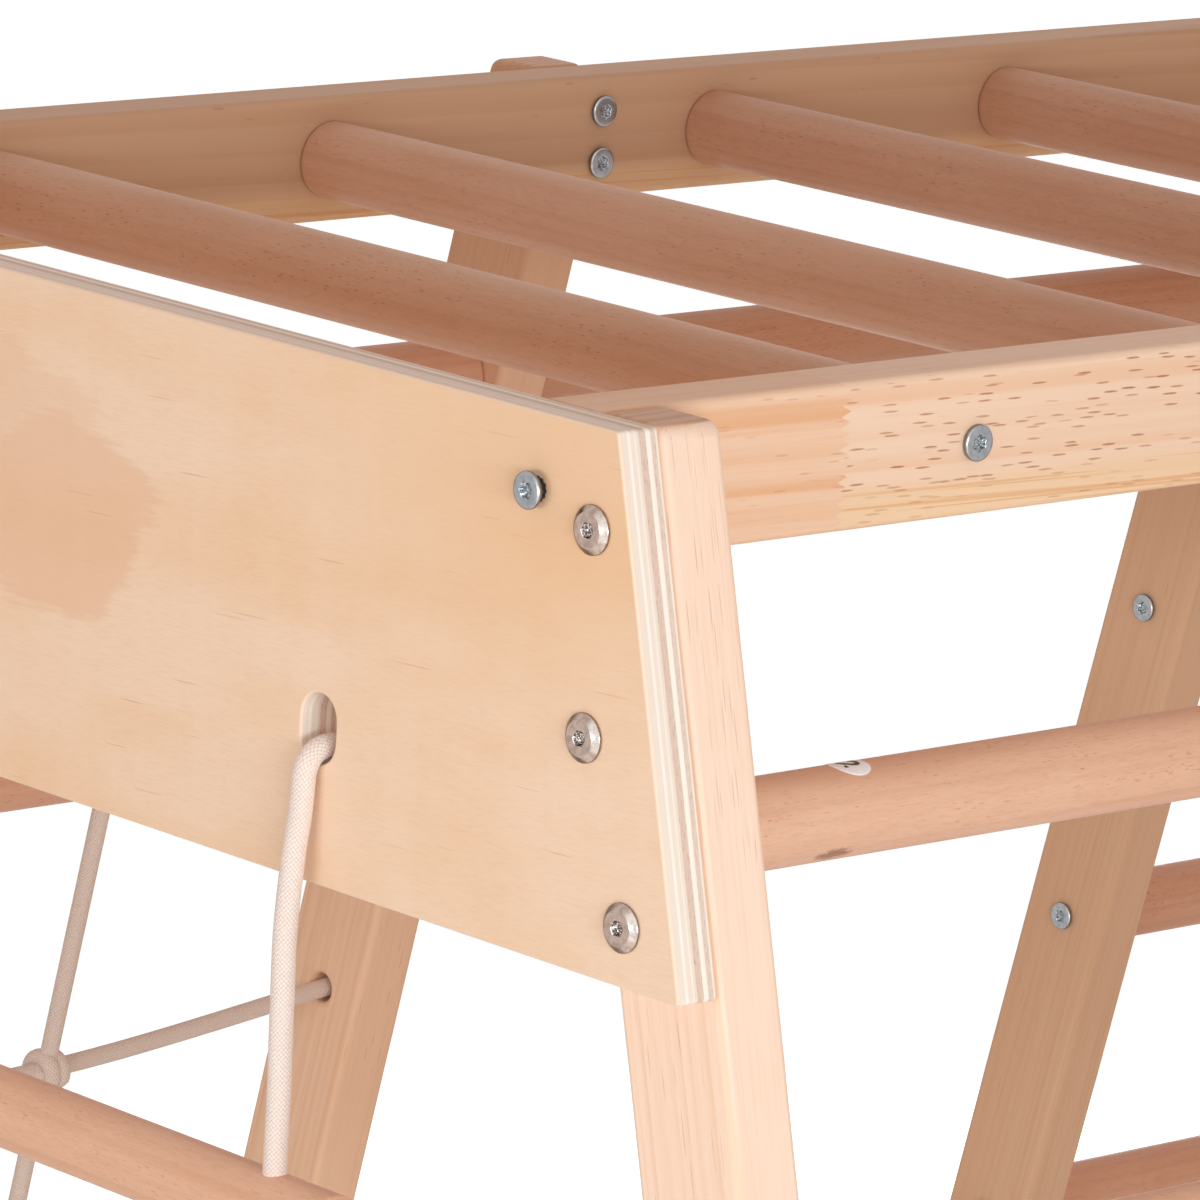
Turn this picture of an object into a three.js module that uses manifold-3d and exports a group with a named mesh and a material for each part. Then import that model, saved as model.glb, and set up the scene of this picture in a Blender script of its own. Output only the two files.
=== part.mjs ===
// A wooden climbing cube for children: eight slanted pine legs in two rows, two pine top rails,
// beech monkey bars and side rungs, two plywood end boards, a rope net and a rope ladder.
// Millimetres, +Z up, +X to the right-hand row of legs. The ladder hangs on the -Y board.
import * as THREE from 'three';
import { mergeVertices } from 'three/addons/utils/BufferGeometryUtils.js';
import Module from 'manifold-3d';

const wasm = await Module();
wasm.setup();

// Driving dimensions of the frame
const frameHeight = 1260;
const topWidth = 640;            // across the outer faces of the legs, at the top
const legLean = THREE.MathUtils.degToRad(13.8);
const legWidth = 50;             // across the wide face, square to the leg
const legThickness = 28;
const legEase = 2;
const endBay = 462;              // clear length of the first and last bay
const middleBay = 452;           // clear length of the doorway bay
const fit = 0.3;                 // clearance between pieces that touch
const overrun = 5;               // how far a cutter reaches past a face

// Top rails
const railThickness = 28;
const railHeight = 52;
const railSetback = 28.6;        // outer face of the rail behind the top of the legs' outer faces
const railEase = 3;

// Plywood end boards
const boardThickness = 18;
const boardHeight = 184;
const boardEase = 1.2;
const slotWidth = 18;
const slotHeight = 25;
const slotFromEdge = 142;        // slot's middle from the upper corner of the board
const slotDrop = 129.5;          // slot's middle below the top of the board

// Beech rods
const rodDiameter = 32;
const rodSides = 16;
const outerBarSetback = 194.5;   // first bar's axis behind the face of the board
const outerBarPitch = 178;
const innerBarPitch = 175.5;
const rungLevels = 7;
const rungDrop = 138;            // first rung's axis below the top
const lowRungHeight = 159;       // last rung's axis above the floor

// Wood screws that hold the rods, the rails and the boards
const screwHeadDiameter = 13;
const screwHeadThickness = 2.6;
const screwShank = 6;
const screwLength = 60;
const legScrewLength = 45;
const screwProud = 3;            // how far the board's screws stand out of it
const boardScrewInset = 9;       // board's screw from the outer face of the rail
const screwSides = 8;
const legScrewSpacing = 22;

// Connector bolts with flat chamfered heads, and their sleeve nuts
const boltHeadDiameter = 17;
const boltHeadThickness = 2.6;
const boltHeadChamfer = 1.4;
const boltShank = 6;
const boltLength = 40;
const boltSocket = 4.6;
const boltSocketDepth = 1.8;
const boltSides = 8;
const boltInsets = [9.4, 7.6, -16.1];     // inwards from the upper corner of the board
const boltDrops = [34.4, 104.1];          // the upper two, below the top of the board
const lowBoltHeight = 20.6;               // the third, above its lower edge
const nutHeadDiameter = 15;
const nutHeadThickness = 2;
const sleeveDiameter = 9;
const sleeveRoot = 4;            // sleeve that the head keeps in the leg

// Threaded studs that join two rungs through one leg
const studDiameter = 8;
const studReach = 22;            // into each rung

// Rope net in the first bay of the left side
const ropeDiameter = 8;
const ropeSides = 8;
const netRows = 5;
const netColumnShares = [0.325, 0.675];
const netFirstDrop = 129;        // first row's holes below the rung that the net hangs on
const netSag = 17;               // knots of a row below its holes in the legs
const netHoleClearance = 2.3;    // wide enough for the ropes' slope
const loopSides = 6;
const loopSteps = 12;
const knotDiameter = 19;
const knotLength = 21;

// Rope ladder
const ladderRungs = 5;
const ladderRungDiameter = 28;
const ladderRungEase = 2;
const ladderRungOverhang = 34;   // rung beyond each rope
const ladderFirstDrop = 300;     // first rung's axis below the top of the board
const ladderPitch = 208;
const ladderTail = 26;           // rope below the last knot's middle
const hangingStep = 24;          // length of one step of the hanging rope's tube
const bendStep = 2.6;            // and of its bend over the slot's lip
const ropeHoleClearance = 0.6;

// Route of the ladder's rope over the lip of its slot, from its knot behind the board: each point
// is the distance behind the board's face and the height above the rope's middle in the slot.
const ropeOverLip = [
  [28.8, 0], [24, 0], [19, 0], [14, 0], [9, 0], [5, 0.1], [2.6, 0.2], [0.6, 0.2], [-1.5, -0.1],
  [-3.3, -1.2], [-4.5, -3], [-5, -5.4], [-5.3, -8], [-5.5, -10.8], [-5.6, -13.5],
];

// And under the hinge, where it bows out from the board and then hangs straight down.
const ropeBelowLip = [
  [-6.1, -21], [-7.9, -33], [-9.4, -48], [-10.1, -62], [-10.1, -77], [-9.8, -92], [-9.5, -110],
  [-9.5, -140],
];

// Places worked out from the driving dimensions
const lean = Math.tan(legLean);
const legAcross = legWidth / Math.cos(legLean);
const legRowStarts = [boardThickness];
for (const bay of [endBay, middleBay, endBay]) {
  legRowStarts.push(legRowStarts.at(-1) + legThickness + bay);
}
const frameLength = legRowStarts.at(-1) + legThickness + boardThickness;
const halfTop = topWidth / 2;
const railOuter = halfTop - railSetback;
const boardScrewX = railOuter - boardScrewInset;
const railInner = railOuter - railThickness;
const railBottom = frameHeight - railHeight;
const barHeight = frameHeight - railHeight / 2;
const slotX = halfTop - slotFromEdge;
const slotZ = frameHeight - slotDrop;
const ropeRadius = ropeDiameter / 2;
const ropeLipZ = slotZ - slotHeight / 2 + ropeRadius + fit;
const [hingeY, bendDrop] = ropeOverLip.at(-1);
const [ladderY] = ropeBelowLip.at(-1);
const loopRadius = (rodDiameter / 2 + fit) / Math.cos(Math.PI / loopSteps) + ropeRadius;
const hingeZ = ropeLipZ + bendDrop - ropeRadius - fit;
const legOuterAt = (z) => halfTop + (frameHeight - z) * lean;
const legMiddleAt = (z) => legOuterAt(z) - legAcross / 2;
const rungPitch = (frameHeight - rungDrop - lowRungHeight) / (rungLevels - 1);
const levelZ = (level) => frameHeight - rungDrop - rungPitch * (level - 1);

const finishes = {
  pine: { color: 0xe8c9a4, roughness: 0.55, metalness: 0 },
  plywood: { color: 0xecca9e, roughness: 0.5, metalness: 0 },
  beech: { color: 0xc99a78, roughness: 0.5, metalness: 0 },
  cotton: { color: 0xebe0d4, roughness: 0.95, metalness: 0 },
  nickel: { color: 0xc9c2b6, roughness: 0.25, metalness: 1 },
  zinc: { color: 0xb4bcc2, roughness: 0.35, metalness: 1 },
};

// Booleans on closed meshes
const weldDistance = 1e-4;

function toSolid(geometry) {
  const bare = geometry.index ? geometry.toNonIndexed() : geometry.clone();
  bare.deleteAttribute('normal');
  bare.deleteAttribute('uv');
  const merged = mergeVertices(bare, weldDistance);
  const mesh = new wasm.Mesh({
    numProp: 3,
    vertProperties: new Float32Array(merged.attributes.position.array),
    triVerts: new Uint32Array(merged.index.array),
  });
  return new wasm.Manifold(mesh);
}

function toGeometry(solid) {
  const mesh = solid.getMesh();
  const geometry = new THREE.BufferGeometry();
  geometry.setAttribute('position', new THREE.BufferAttribute(mesh.vertProperties, 3));
  geometry.setIndex(new THREE.BufferAttribute(mesh.triVerts, 1));
  return geometry;
}

function cut(body, cutters) {
  return cutters.reduce((rest, cutter) => rest.subtract(cutter), body);
}

function join(solids) {
  return solids.reduce((whole, solid) => whole.add(solid));
}

// Forms
const facing = {
  up: new THREE.Quaternion(),
  back: new THREE.Quaternion().setFromUnitVectors(
    new THREE.Vector3(0, 0, 1), new THREE.Vector3(0, 1, 0)),
  front: new THREE.Quaternion().setFromUnitVectors(
    new THREE.Vector3(0, 0, 1), new THREE.Vector3(0, -1, 0)),
  right: new THREE.Quaternion().setFromUnitVectors(
    new THREE.Vector3(0, 0, 1), new THREE.Vector3(1, 0, 0)),
  left: new THREE.Quaternion().setFromUnitVectors(
    new THREE.Vector3(0, 0, 1), new THREE.Vector3(-1, 0, 0)),
};

// A solid of revolution: the profile's pairs are radius and height, and it points the way given.
function turned(profile, sides, way, x, y, z) {
  const points = profile.map(([radius, height]) => new THREE.Vector2(radius, height));
  const geometry = new THREE.LatheGeometry(points, sides);
  geometry.rotateX(Math.PI / 2);
  geometry.applyQuaternion(facing[way]);
  geometry.translate(x, y, z);
  return toSolid(geometry);
}

function ball(radius, x, y, z) {
  const geometry = new THREE.SphereGeometry(radius, ropeSides, ropeSides / 2);
  geometry.translate(x, y, z);
  return toSolid(geometry);
}

// An outline in X and Z, extruded along +Y from y.
function standing(outline, depth, ease, y) {
  const shape = outline instanceof THREE.Shape ? outline : new THREE.Shape(
    outline.map(([x, z]) => new THREE.Vector2(x, z)));
  const geometry = new THREE.ExtrudeGeometry(shape, {
    depth: depth - 2 * ease,
    bevelEnabled: ease > 0,
    bevelThickness: ease,
    bevelSize: ease,
    bevelOffset: -ease,
    bevelSegments: 1,
    curveSegments: 3,
  });
  geometry.rotateX(Math.PI / 2);
  geometry.translate(0, y + depth - ease, 0);
  return toSolid(geometry);
}

function mirrored(outline, side) {
  const flipped = outline.map(([x, z]) => [side * x, z]);
  return side > 0 ? flipped : flipped.reverse();
}

function roundedRectangle(x0, z0, width, height, radius) {
  const shape = new THREE.Shape();
  const right = x0 + width;
  const top = z0 + height;
  shape.moveTo(x0 + radius, z0);
  shape.lineTo(right - radius, z0);
  shape.absarc(right - radius, z0 + radius, radius, -Math.PI / 2, 0);
  shape.lineTo(right, top - radius);
  shape.absarc(right - radius, top - radius, radius, 0, Math.PI / 2);
  shape.lineTo(x0 + radius, top);
  shape.absarc(x0 + radius, top - radius, radius, Math.PI / 2, Math.PI);
  shape.lineTo(x0, z0 + radius);
  shape.absarc(x0 + radius, z0 + radius, radius, Math.PI, 1.5 * Math.PI);
  return shape;
}

// Fasteners. Each stands with its seat at the origin, its shank along -Z, before it is placed.
function screw(way, x, y, z, length = screwLength) {
  const shank = screwShank / 2;
  const head = screwHeadDiameter / 2;
  return turned([
    [0, -length], [shank, -length], [shank, 0],
    [head, 0], [head, screwHeadThickness], [0, screwHeadThickness],
  ], screwSides, way, x, y, z);
}

// A hole of that depth from the face at y, and a little way out of it.
function roundHole(way, x, y, z, diameter, depth) {
  const radius = diameter / 2;
  const profile = [[0, -depth], [radius, -depth], [radius, overrun], [0, overrun]];
  return turned(profile, screwSides, way, x, y, z);
}

// The room that a screw's or stud's shank takes in a piece it passes through or enters.
function screwHole(way, x, y, z, depth) {
  return roundHole(way, x, y, z, screwShank + 2 * fit, depth);
}

function studHole(way, x, y, z, depth) {
  return roundHole(way, x, y, z, studDiameter + 2 * fit, depth);
}

function connectorBolt(way, x, y, z) {
  const shank = boltShank / 2;
  const head = boltHeadDiameter / 2;
  const socket = boltSocket / 2;
  const socketFloor = boltHeadThickness - boltSocketDepth;
  return turned([
    [0, -boltLength], [shank, -boltLength], [shank, 0], [head, 0],
    [head, boltHeadThickness - boltHeadChamfer], [head - boltHeadChamfer, boltHeadThickness],
    [socket, boltHeadThickness], [socket, socketFloor], [0, socketFloor],
  ], boltSides, way, x, y, z);
}

function sleeveNutHead(way, x, y, z) {
  const head = nutHeadDiameter / 2;
  const sleeve = sleeveDiameter / 2;
  return turned([
    [0, -sleeveRoot], [sleeve, -sleeveRoot], [sleeve, 0],
    [head, 0], [head, nutHeadThickness], [0, nutHeadThickness],
  ], screwSides, way, x, y, z);
}

// A stud through one leg, from the face of the rung that holds it.
function stud(way, x, y, z) {
  const radius = studDiameter / 2;
  const far = legThickness + studReach;
  const profile = [[0, -studReach], [radius, -studReach], [radius, far], [0, far]];
  return turned(profile, screwSides, way, x, y, z);
}

// Where everything that crosses a leg lies
const sides = { right: 1, left: -1 };
const allLevels = Array.from({ length: rungLevels }, (_, index) => index + 1);
const rungLevelsByBay = {
  right: [allLevels, [1], [1, rungLevels]],
  left: [[1, 2, rungLevels], [1], allLevels],
};
const netTopZ = levelZ(2);
const netRowPitch = (netTopZ - levelZ(rungLevels) - 2 * netFirstDrop) / (netRows - 1);
const netHoleHeights = Array.from({ length: netRows }, (_, index) =>
  netTopZ - netFirstDrop - netRowPitch * index);
const bayLengths = [endBay, middleBay, endBay];
const bayStart = (bay) => legRowStarts[bay] + legThickness;
const lastRow = legRowStarts.length - 1;
const isEndRow = (row) => row === 0 || row === lastRow;

const middleY = frameLength / 2;
const barPlaces = [
  outerBarSetback, outerBarSetback + outerBarPitch, middleY - innerBarPitch, middleY,
  middleY + innerBarPitch, frameLength - outerBarSetback - outerBarPitch, frameLength - outerBarSetback,
];

const rungAt = (side, bay, level) => Boolean(rungLevelsByBay[side][bay]?.includes(level));

// Under a board a screw's head is sunk into the leg.
function headSink(row, z) {
  const underBoard = isEndRow(row) && z > frameHeight - boardHeight;
  return underBoard ? screwHeadThickness + 2 * fit : 0;
}

// Holes through one leg for the screws and studs of the rungs beside it.
function rungHoles(side, row) {
  const start = legRowStarts[row];
  const end = start + legThickness;
  const depth = legThickness + overrun;
  return allLevels.flatMap((level) => {
    const z = levelZ(level);
    const x = sides[side] * legMiddleAt(z);
    const before = rungAt(side, row - 1, level);
    const after = rungAt(side, row, level);
    if (before && after) {
      return [studHole('back', x, end, z, depth)];
    }
    const sink = headSink(row, z);
    const way = before ? 'back' : 'front';
    const holes = before || after ? [screwHole('back', x, end, z, depth)] : [];
    const sunk = sink > 0
      ? [roundHole(way, x, before ? end : start, z, screwHeadDiameter + 2 * fit, sink)]
      : [];
    return [...holes, ...sunk];
  });
}

function boardBoltPlaces(sign) {
  const drops = [...boltDrops, boardHeight - lowBoltHeight];
  return boltInsets.map((inset, index) => [sign * (halfTop - inset), frameHeight - drops[index]]);
}

// An end leg holds the sleeve nuts, with their heads on its inner face. The back legs hold their
// bolts too, and the front legs have bores for bolts of their own.
function boltSeats(sign, row) {
  if (!isEndRow(row)) {
    return { held: [], bores: [] };
  }
  const isFront = row === 0;
  const inside = isFront ? legRowStarts[row] + legThickness : legRowStarts[row];
  const places = boardBoltPlaces(sign);
  const nuts = places.map(([x, z]) => sleeveNutHead(isFront ? 'back' : 'front', x, inside, z));
  if (isFront) {
    const depth = boltLength - boardThickness + 2 * fit;
    const bores = places.map(([x, z]) => roundHole(
      'front', x, legRowStarts[row], z, boltShank + 2 * fit, depth));
    return { held: nuts, bores };
  }
  const bolts = places.map(([x, z]) => connectorBolt('back', x, frameLength + fit, z));
  return { held: [...nuts, ...bolts], bores: [] };
}

// The middle legs are screwed on from the inside of the rail.
function legScrewPlaces(sign, row) {
  const y = legRowStarts[row] + legThickness / 2;
  const steps = isEndRow(row) ? [] : [-1, 1];
  return steps.map((step) => [sign * (railInner - fit), y, barHeight + (step * legScrewSpacing) / 2]);
}

function netHoles(side, row) {
  if (side !== 'left' || row > 1) {
    return [];
  }
  const y = legRowStarts[row] + legThickness;
  const diameter = ropeDiameter + 2 * netHoleClearance;
  return netHoleHeights.map((z) => roundHole(
    'back', -legMiddleAt(z), y, z, diameter, legThickness + overrun));
}

function legOutline() {
  const shoulder = railBottom - fit;
  const notch = railOuter + fit;
  return [
    [legOuterAt(0), 0], [halfTop, frameHeight], [notch, frameHeight], [notch, shoulder],
    [legOuterAt(shoulder) - legAcross, shoulder], [legOuterAt(0) - legAcross, 0],
  ];
}

function leg(side, row) {
  const sign = sides[side];
  const wood = standing(mirrored(legOutline(), sign), legThickness, legEase, legRowStarts[row]);
  const seats = boltSeats(sign, row);
  const way = sign > 0 ? 'left' : 'right';
  const screws = legScrewPlaces(sign, row).map(([x, y, z]) => screw(way, x, y, z, legScrewLength));
  return cut(join([wood, ...screws, ...seats.held]), [
    ...seats.bores, ...rungHoles(side, row), ...netHoles(side, row),
  ]);
}

// Rods
function rod(way, x, y, z, length, diameter) {
  const radius = diameter / 2;
  return turned([[0, 0], [radius, 0], [radius, length], [0, length]], rodSides, way, x, y, z);
}

function bar(y) {
  const half = railInner - fit;
  return join([
    rod('right', -half, y, barHeight, 2 * half, rodDiameter),
    screw('right', railOuter + fit, y, barHeight),
    screw('left', -railOuter - fit, y, barHeight),
  ]);
}

// A rung between two legs, with its screws. Where the next bay has a rung at the same level,
// the rung of the middle bay holds the stud and the other is bored for it.
function rung(side, bay, level) {
  const z = levelZ(level);
  const x = sides[side] * legMiddleAt(z);
  const start = bayStart(bay);
  const end = start + bayLengths[bay];
  const wood = rod('back', x, start + fit, z, bayLengths[bay] - 2 * fit, rodDiameter);
  const ends = [
    { way: 'front', face: start, row: bay, nextBay: bay - 1 },
    { way: 'back', face: end, row: bay + 1, nextBay: bay + 1 },
  ];
  const isMiddle = bay === 1;
  const shared = ends.filter(({ nextBay }) => rungAt(side, nextBay, level));
  const free = ends.filter(({ nextBay }) => !rungAt(side, nextBay, level));
  const screws = free.map(({ way, face, row }) => {
    const out = way === 'front' ? -1 : 1;
    return screw(way, x, face + out * (legThickness + fit - headSink(row, z)), z);
  });
  const studs = isMiddle ? shared.map(({ way, face }) => stud(way, x, face, z)) : [];
  const bores = isMiddle ? [] : shared.map(({ way, face }) => studHole(
    way, x, face, z, studReach + fit));
  return cut(join([wood, ...screws, ...studs]), bores);
}

// Rails
function rail(side) {
  const sign = sides[side];
  const left = sign > 0 ? railInner : -railOuter;
  const outline = roundedRectangle(left, railBottom, railThickness, railHeight, railEase);
  const start = boardThickness + fit;
  const wood = standing(outline, frameLength - 2 * start, 0, start);
  const depth = railThickness + overrun;
  const outer = left + railThickness;
  const barHoles = barPlaces.map((y) => screwHole('right', outer, y, barHeight, depth));
  const legHoles = legRowStarts.flatMap((_, row) => legScrewPlaces(sign, row)).map(
    ([, y, z]) => screwHole('right', outer, y, z, depth));
  const endHole = screwHole('front', ...boardScrewPlace('front', sign), screwLength + fit);
  const held = join([wood, screw('back', ...boardScrewPlace('back', sign))]);
  return cut(held, [...barHoles, ...legHoles, endHole]);
}

// A board's screw stands a little proud of the board and runs into the end of the rail.
function boardScrewPlace(way, sign) {
  const y = way === 'front' ? -screwProud : frameLength + screwProud;
  return [sign * boardScrewX, y, barHeight];
}

// Boards
function boardOutline() {
  const low = frameHeight - boardHeight;
  return [
    [-legOuterAt(low), low], [legOuterAt(low), low], [halfTop, frameHeight], [-halfTop, frameHeight],
  ];
}

function slot(x) {
  const radius = slotWidth / 2;
  const straight = slotHeight / 2 - radius;
  const shape = new THREE.Shape();
  shape.absarc(x, slotZ + straight, radius, 0, Math.PI);
  shape.absarc(x, slotZ - straight, radius, Math.PI, 2 * Math.PI);
  return standing(shape, boardThickness + 2 * overrun, 0, -overrun);
}

// A board with its holes. Only the front board has slots for the rope ladder.
function board(isFront) {
  const way = isFront ? 'front' : 'back';
  const face = isFront ? 0 : frameLength;
  const start = isFront ? 0 : frameLength - boardThickness + fit;
  const wood = standing(boardOutline(), boardThickness - fit, boardEase, start);
  const depth = boardThickness + overrun;
  const bothSides = Object.values(sides);
  const bolts = bothSides.flatMap(boardBoltPlaces).map(([x, z]) => roundHole(
    way, x, face, z, boltShank + 2 * fit, depth));
  const screws = bothSides.map((sign) => screwHole(
    way, sign * boardScrewX, face, barHeight, depth));
  const slots = isFront ? bothSides.map((sign) => slot(sign * slotX)) : [];
  return cut(wood, [...bolts, ...screws, ...slots]);
}

// Rope
function ropeRun(points, step) {
  const stops = points.map((point) => new THREE.Vector3(...point));
  const curve = new THREE.CatmullRomCurve3(stops, false, 'centripetal');
  const section = Array.from({ length: ropeSides }, (_, index) => {
    const angle = (2 * Math.PI * (index + 0.5)) / ropeSides;
    return new THREE.Vector2(ropeRadius * Math.cos(angle), ropeRadius * Math.sin(angle));
  });
  const geometry = new THREE.ExtrudeGeometry(new THREE.Shape(section), {
    steps: Math.round(curve.getLength() / step), bevelEnabled: false, extrudePath: curve,
  });
  return toSolid(geometry);
}

// A tight overhand knot: a barrel with drawn-in ends.
function knot(way, x, y, z) {
  const radius = knotDiameter / 2;
  const half = knotLength / 2;
  return turned([
    [0, -half], [radius, -half / 2], [radius, half / 2], [0, half],
  ], ropeSides, way, x, y, z);
}

function netRope(from, to) {
  const length = from.distanceTo(to);
  const radius = ropeRadius;
  const geometry = new THREE.CylinderGeometry(radius, radius, length, ropeSides);
  geometry.applyQuaternion(new THREE.Quaternion().setFromUnitVectors(
    new THREE.Vector3(0, 1, 0), to.clone().sub(from).normalize()));
  const middle = from.clone().add(to).multiplyScalar(0.5);
  geometry.translate(middle.x, middle.y, middle.z);
  return toSolid(geometry);
}

function netLoop(y, z) {
  const geometry = new THREE.TorusGeometry(loopRadius, ropeRadius, loopSides, loopSteps);
  geometry.rotateX(Math.PI / 2);
  geometry.translate(-legMiddleAt(z), y, z);
  return toSolid(geometry);
}

// The ropes of a row run straight from the knots outside the legs to the knots of the columns.
function netRow(columns, holeZ) {
  const at = (y, z) => new THREE.Vector3(-legMiddleAt(z), y, z);
  const inner = columns.map((y) => at(y, holeZ - netSag));
  const knotReach = knotLength / 2 + fit;
  const firstHole = legRowStarts[0] + legThickness / 2;
  const rise = (netSag * (legThickness / 2 + knotReach)) / (columns[0] - firstHole);
  const first = at(legRowStarts[0] - knotReach, holeZ + rise);
  const last = at(legRowStarts[1] + legThickness + knotReach, holeZ + rise);
  const stops = [first, ...inner, last];
  const runs = stops.slice(1).map((stop, step) => netRope(stops[step], stop));
  const ways = ['front', ...inner.map(() => 'back'), 'back'];
  return join([...runs, ...stops.map((stop, step) => knot(ways[step], stop.x, stop.y, stop.z))]);
}

function net() {
  const columns = netColumnShares.map((share) => bayStart(0) + share * endBay);
  const lowZ = levelZ(rungLevels);
  const at = (y, z) => new THREE.Vector3(-legMiddleAt(z), y, z);
  const uprights = columns.flatMap((y) => [
    netLoop(y, netTopZ), netLoop(y, lowZ),
    netRope(at(y, netTopZ - loopRadius), at(y, lowZ + loopRadius)),
  ]);
  return join([...uprights, ...netHoleHeights.map((z) => netRow(columns, z))]);
}

const ladderRungHeights = Array.from({ length: ladderRungs }, (_, index) =>
  frameHeight - ladderFirstDrop - ladderPitch * index);

// The rope's fixed end: its knot behind the board, its run through the slot and its bend.
function ladderAnchor(sign) {
  const x = sign * slotX;
  const points = ropeOverLip.map(([y, rise]) => [x, y, ropeLipZ + rise]);
  const knotY = boardThickness + fit + knotLength / 2;
  return join([ropeRun(points, bendStep), knot('back', x, knotY, ropeLipZ)]);
}

// The hanging part runs down through the rungs. Its top is a ball, so that it turns freely under
// the bend.
function ladderRope(sign) {
  const x = sign * slotX;
  const knotDrop = ladderRungDiameter / 2 + fit + knotLength / 2;
  const lowest = ladderRungHeights.at(-1) - knotDrop - ladderTail;
  const bow = ropeBelowLip.map(([y, rise]) => [x, y, ropeLipZ + rise]);
  return join([
    ropeRun([[x, hingeY, hingeZ], ...bow, [x, ladderY, lowest]], hangingStep),
    ball(ropeRadius, x, hingeY, hingeZ),
    ...ladderRungHeights.map((z) => knot('up', x, ladderY, z - knotDrop)),
  ]);
}

function ladderRung(z) {
  const half = slotX + ladderRungOverhang;
  const radius = ladderRungDiameter / 2;
  const length = 2 * half;
  const body = turned([
    [0, 0], [radius - ladderRungEase, 0], [radius, ladderRungEase],
    [radius, length - ladderRungEase], [radius - ladderRungEase, length], [0, length],
  ], rodSides, 'right', -half, ladderY, z);
  const depth = ladderRungDiameter + overrun;
  const diameter = ropeDiameter + 2 * ropeHoleClearance;
  return cut(body, Object.values(sides).map((sign) => roundHole(
    'up', sign * slotX, ladderY, z + radius, diameter, depth)));
}

// Assembly
const cube = new THREE.Group();

function place(name, solid, finish) {
  const material = new THREE.MeshStandardMaterial(finishes[finish]);
  const mesh = new THREE.Mesh(toGeometry(solid), material);
  mesh.name = name;
  cube.add(mesh);
}

const rowNames = ['front', 'mid_front', 'mid_back', 'back'];
const bayNames = ['front', 'mid', 'back'];

for (const side of Object.keys(sides)) {
  rowNames.forEach((name, row) => place(`leg_${side}_${name}`, leg(side, row), 'pine'));
  place(`top_rail_${side}`, rail(side), 'pine');
  rungLevelsByBay[side].forEach((levels, bay) => {
    for (const level of levels) {
      place(`rung_${side}_${bayNames[bay]}_${level}`, rung(side, bay, level), 'beech');
    }
  });
}
barPlaces.forEach((y, index) => place(`monkey_bar_${index + 1}`, bar(y), 'beech'));
place('board_front', board(true), 'plywood');
place('board_back', board(false), 'plywood');
for (const [side, sign] of Object.entries(sides)) {
  boardBoltPlaces(sign).forEach(([x, z], index) => {
    place(`connector_bolt_${side}_${index + 1}`, connectorBolt('front', x, -fit, z), 'nickel');
  });
  place(`board_screw_${side}`, screw('front', ...boardScrewPlace('front', sign)), 'zinc');
}
place('rope_net', net(), 'cotton');
for (const [side, sign] of Object.entries(sides)) {
  place(`ladder_rope_anchor_${side}`, ladderAnchor(sign), 'cotton');
  place(`ladder_rope_${side}`, ladderRope(sign), 'cotton');
}
ladderRungHeights.forEach((z, index) => place(`ladder_rung_${index + 1}`, ladderRung(z), 'beech'));

// The origin is on the floor, at the middle of what the frame and the ladder's rungs cover.
const frontReach = ladderY - ladderRungDiameter / 2;
const backReach = frameLength + screwProud + screwHeadThickness;
cube.position.y = -(frontReach + backReach) / 2;

export default cube;
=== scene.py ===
# Looks of a wooden climbing cube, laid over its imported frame. Metres, +Z up.
import math

import bmesh
import bpy
import numpy as np
from mathutils import Matrix, Vector
from mathutils.geometry import tessellate_polygon


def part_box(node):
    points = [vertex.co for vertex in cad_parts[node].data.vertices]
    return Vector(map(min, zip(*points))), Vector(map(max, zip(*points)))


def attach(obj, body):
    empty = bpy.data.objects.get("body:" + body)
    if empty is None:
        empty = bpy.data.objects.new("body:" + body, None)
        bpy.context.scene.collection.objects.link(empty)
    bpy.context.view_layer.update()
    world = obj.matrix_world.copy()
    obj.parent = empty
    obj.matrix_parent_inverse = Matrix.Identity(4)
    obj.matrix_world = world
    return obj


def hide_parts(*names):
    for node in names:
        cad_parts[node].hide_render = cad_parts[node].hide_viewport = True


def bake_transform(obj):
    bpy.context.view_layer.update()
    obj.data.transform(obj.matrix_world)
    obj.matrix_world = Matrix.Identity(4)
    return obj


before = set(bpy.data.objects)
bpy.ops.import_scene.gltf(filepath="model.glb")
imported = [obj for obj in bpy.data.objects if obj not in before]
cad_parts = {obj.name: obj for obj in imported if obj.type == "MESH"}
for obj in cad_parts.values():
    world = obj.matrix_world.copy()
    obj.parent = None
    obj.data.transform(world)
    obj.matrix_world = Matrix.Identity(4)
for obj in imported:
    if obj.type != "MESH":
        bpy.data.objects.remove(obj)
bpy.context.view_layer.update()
print("frame loaded:", len(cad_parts), "nodes")

frameSizes = {
    "lean": math.radians(13.8),      # of the legs, out of the vertical
    "topWidth": 0.640,               # across the outer faces of the legs, at the top
    "legWidth": 0.050,
    "fit": 0.0003,                   # clearance between pieces that touch
    "rodRadius": 0.016,
    "railSetback": 0.0286,
    "railWidth": 0.028,
    "railHeight": 0.052,
    # near and far side of each row of legs, behind the front board's face
    "rows": {"front": (0.018, 0.046), "mid_front": (0.508, 0.536),
             "mid_back": (0.988, 1.016), "back": (1.478, 1.506)},
}
lean, fit, rodRadius = frameSizes["lean"], frameSizes["fit"], frameSizes["rodRadius"]
boardLow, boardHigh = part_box("board_front")
boardFront, boardInner, frameTop = boardLow.y, boardHigh.y, boardHigh.z
backInner, frameBack = [corner.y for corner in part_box("board_back")]
halfTop = frameSizes["topWidth"] / 2
legAcross = frameSizes["legWidth"] / math.cos(lean)
railOuter = halfTop - frameSizes["railSetback"]
railInner = railOuter - frameSizes["railWidth"]
railLow = frameTop - frameSizes["railHeight"]
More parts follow.
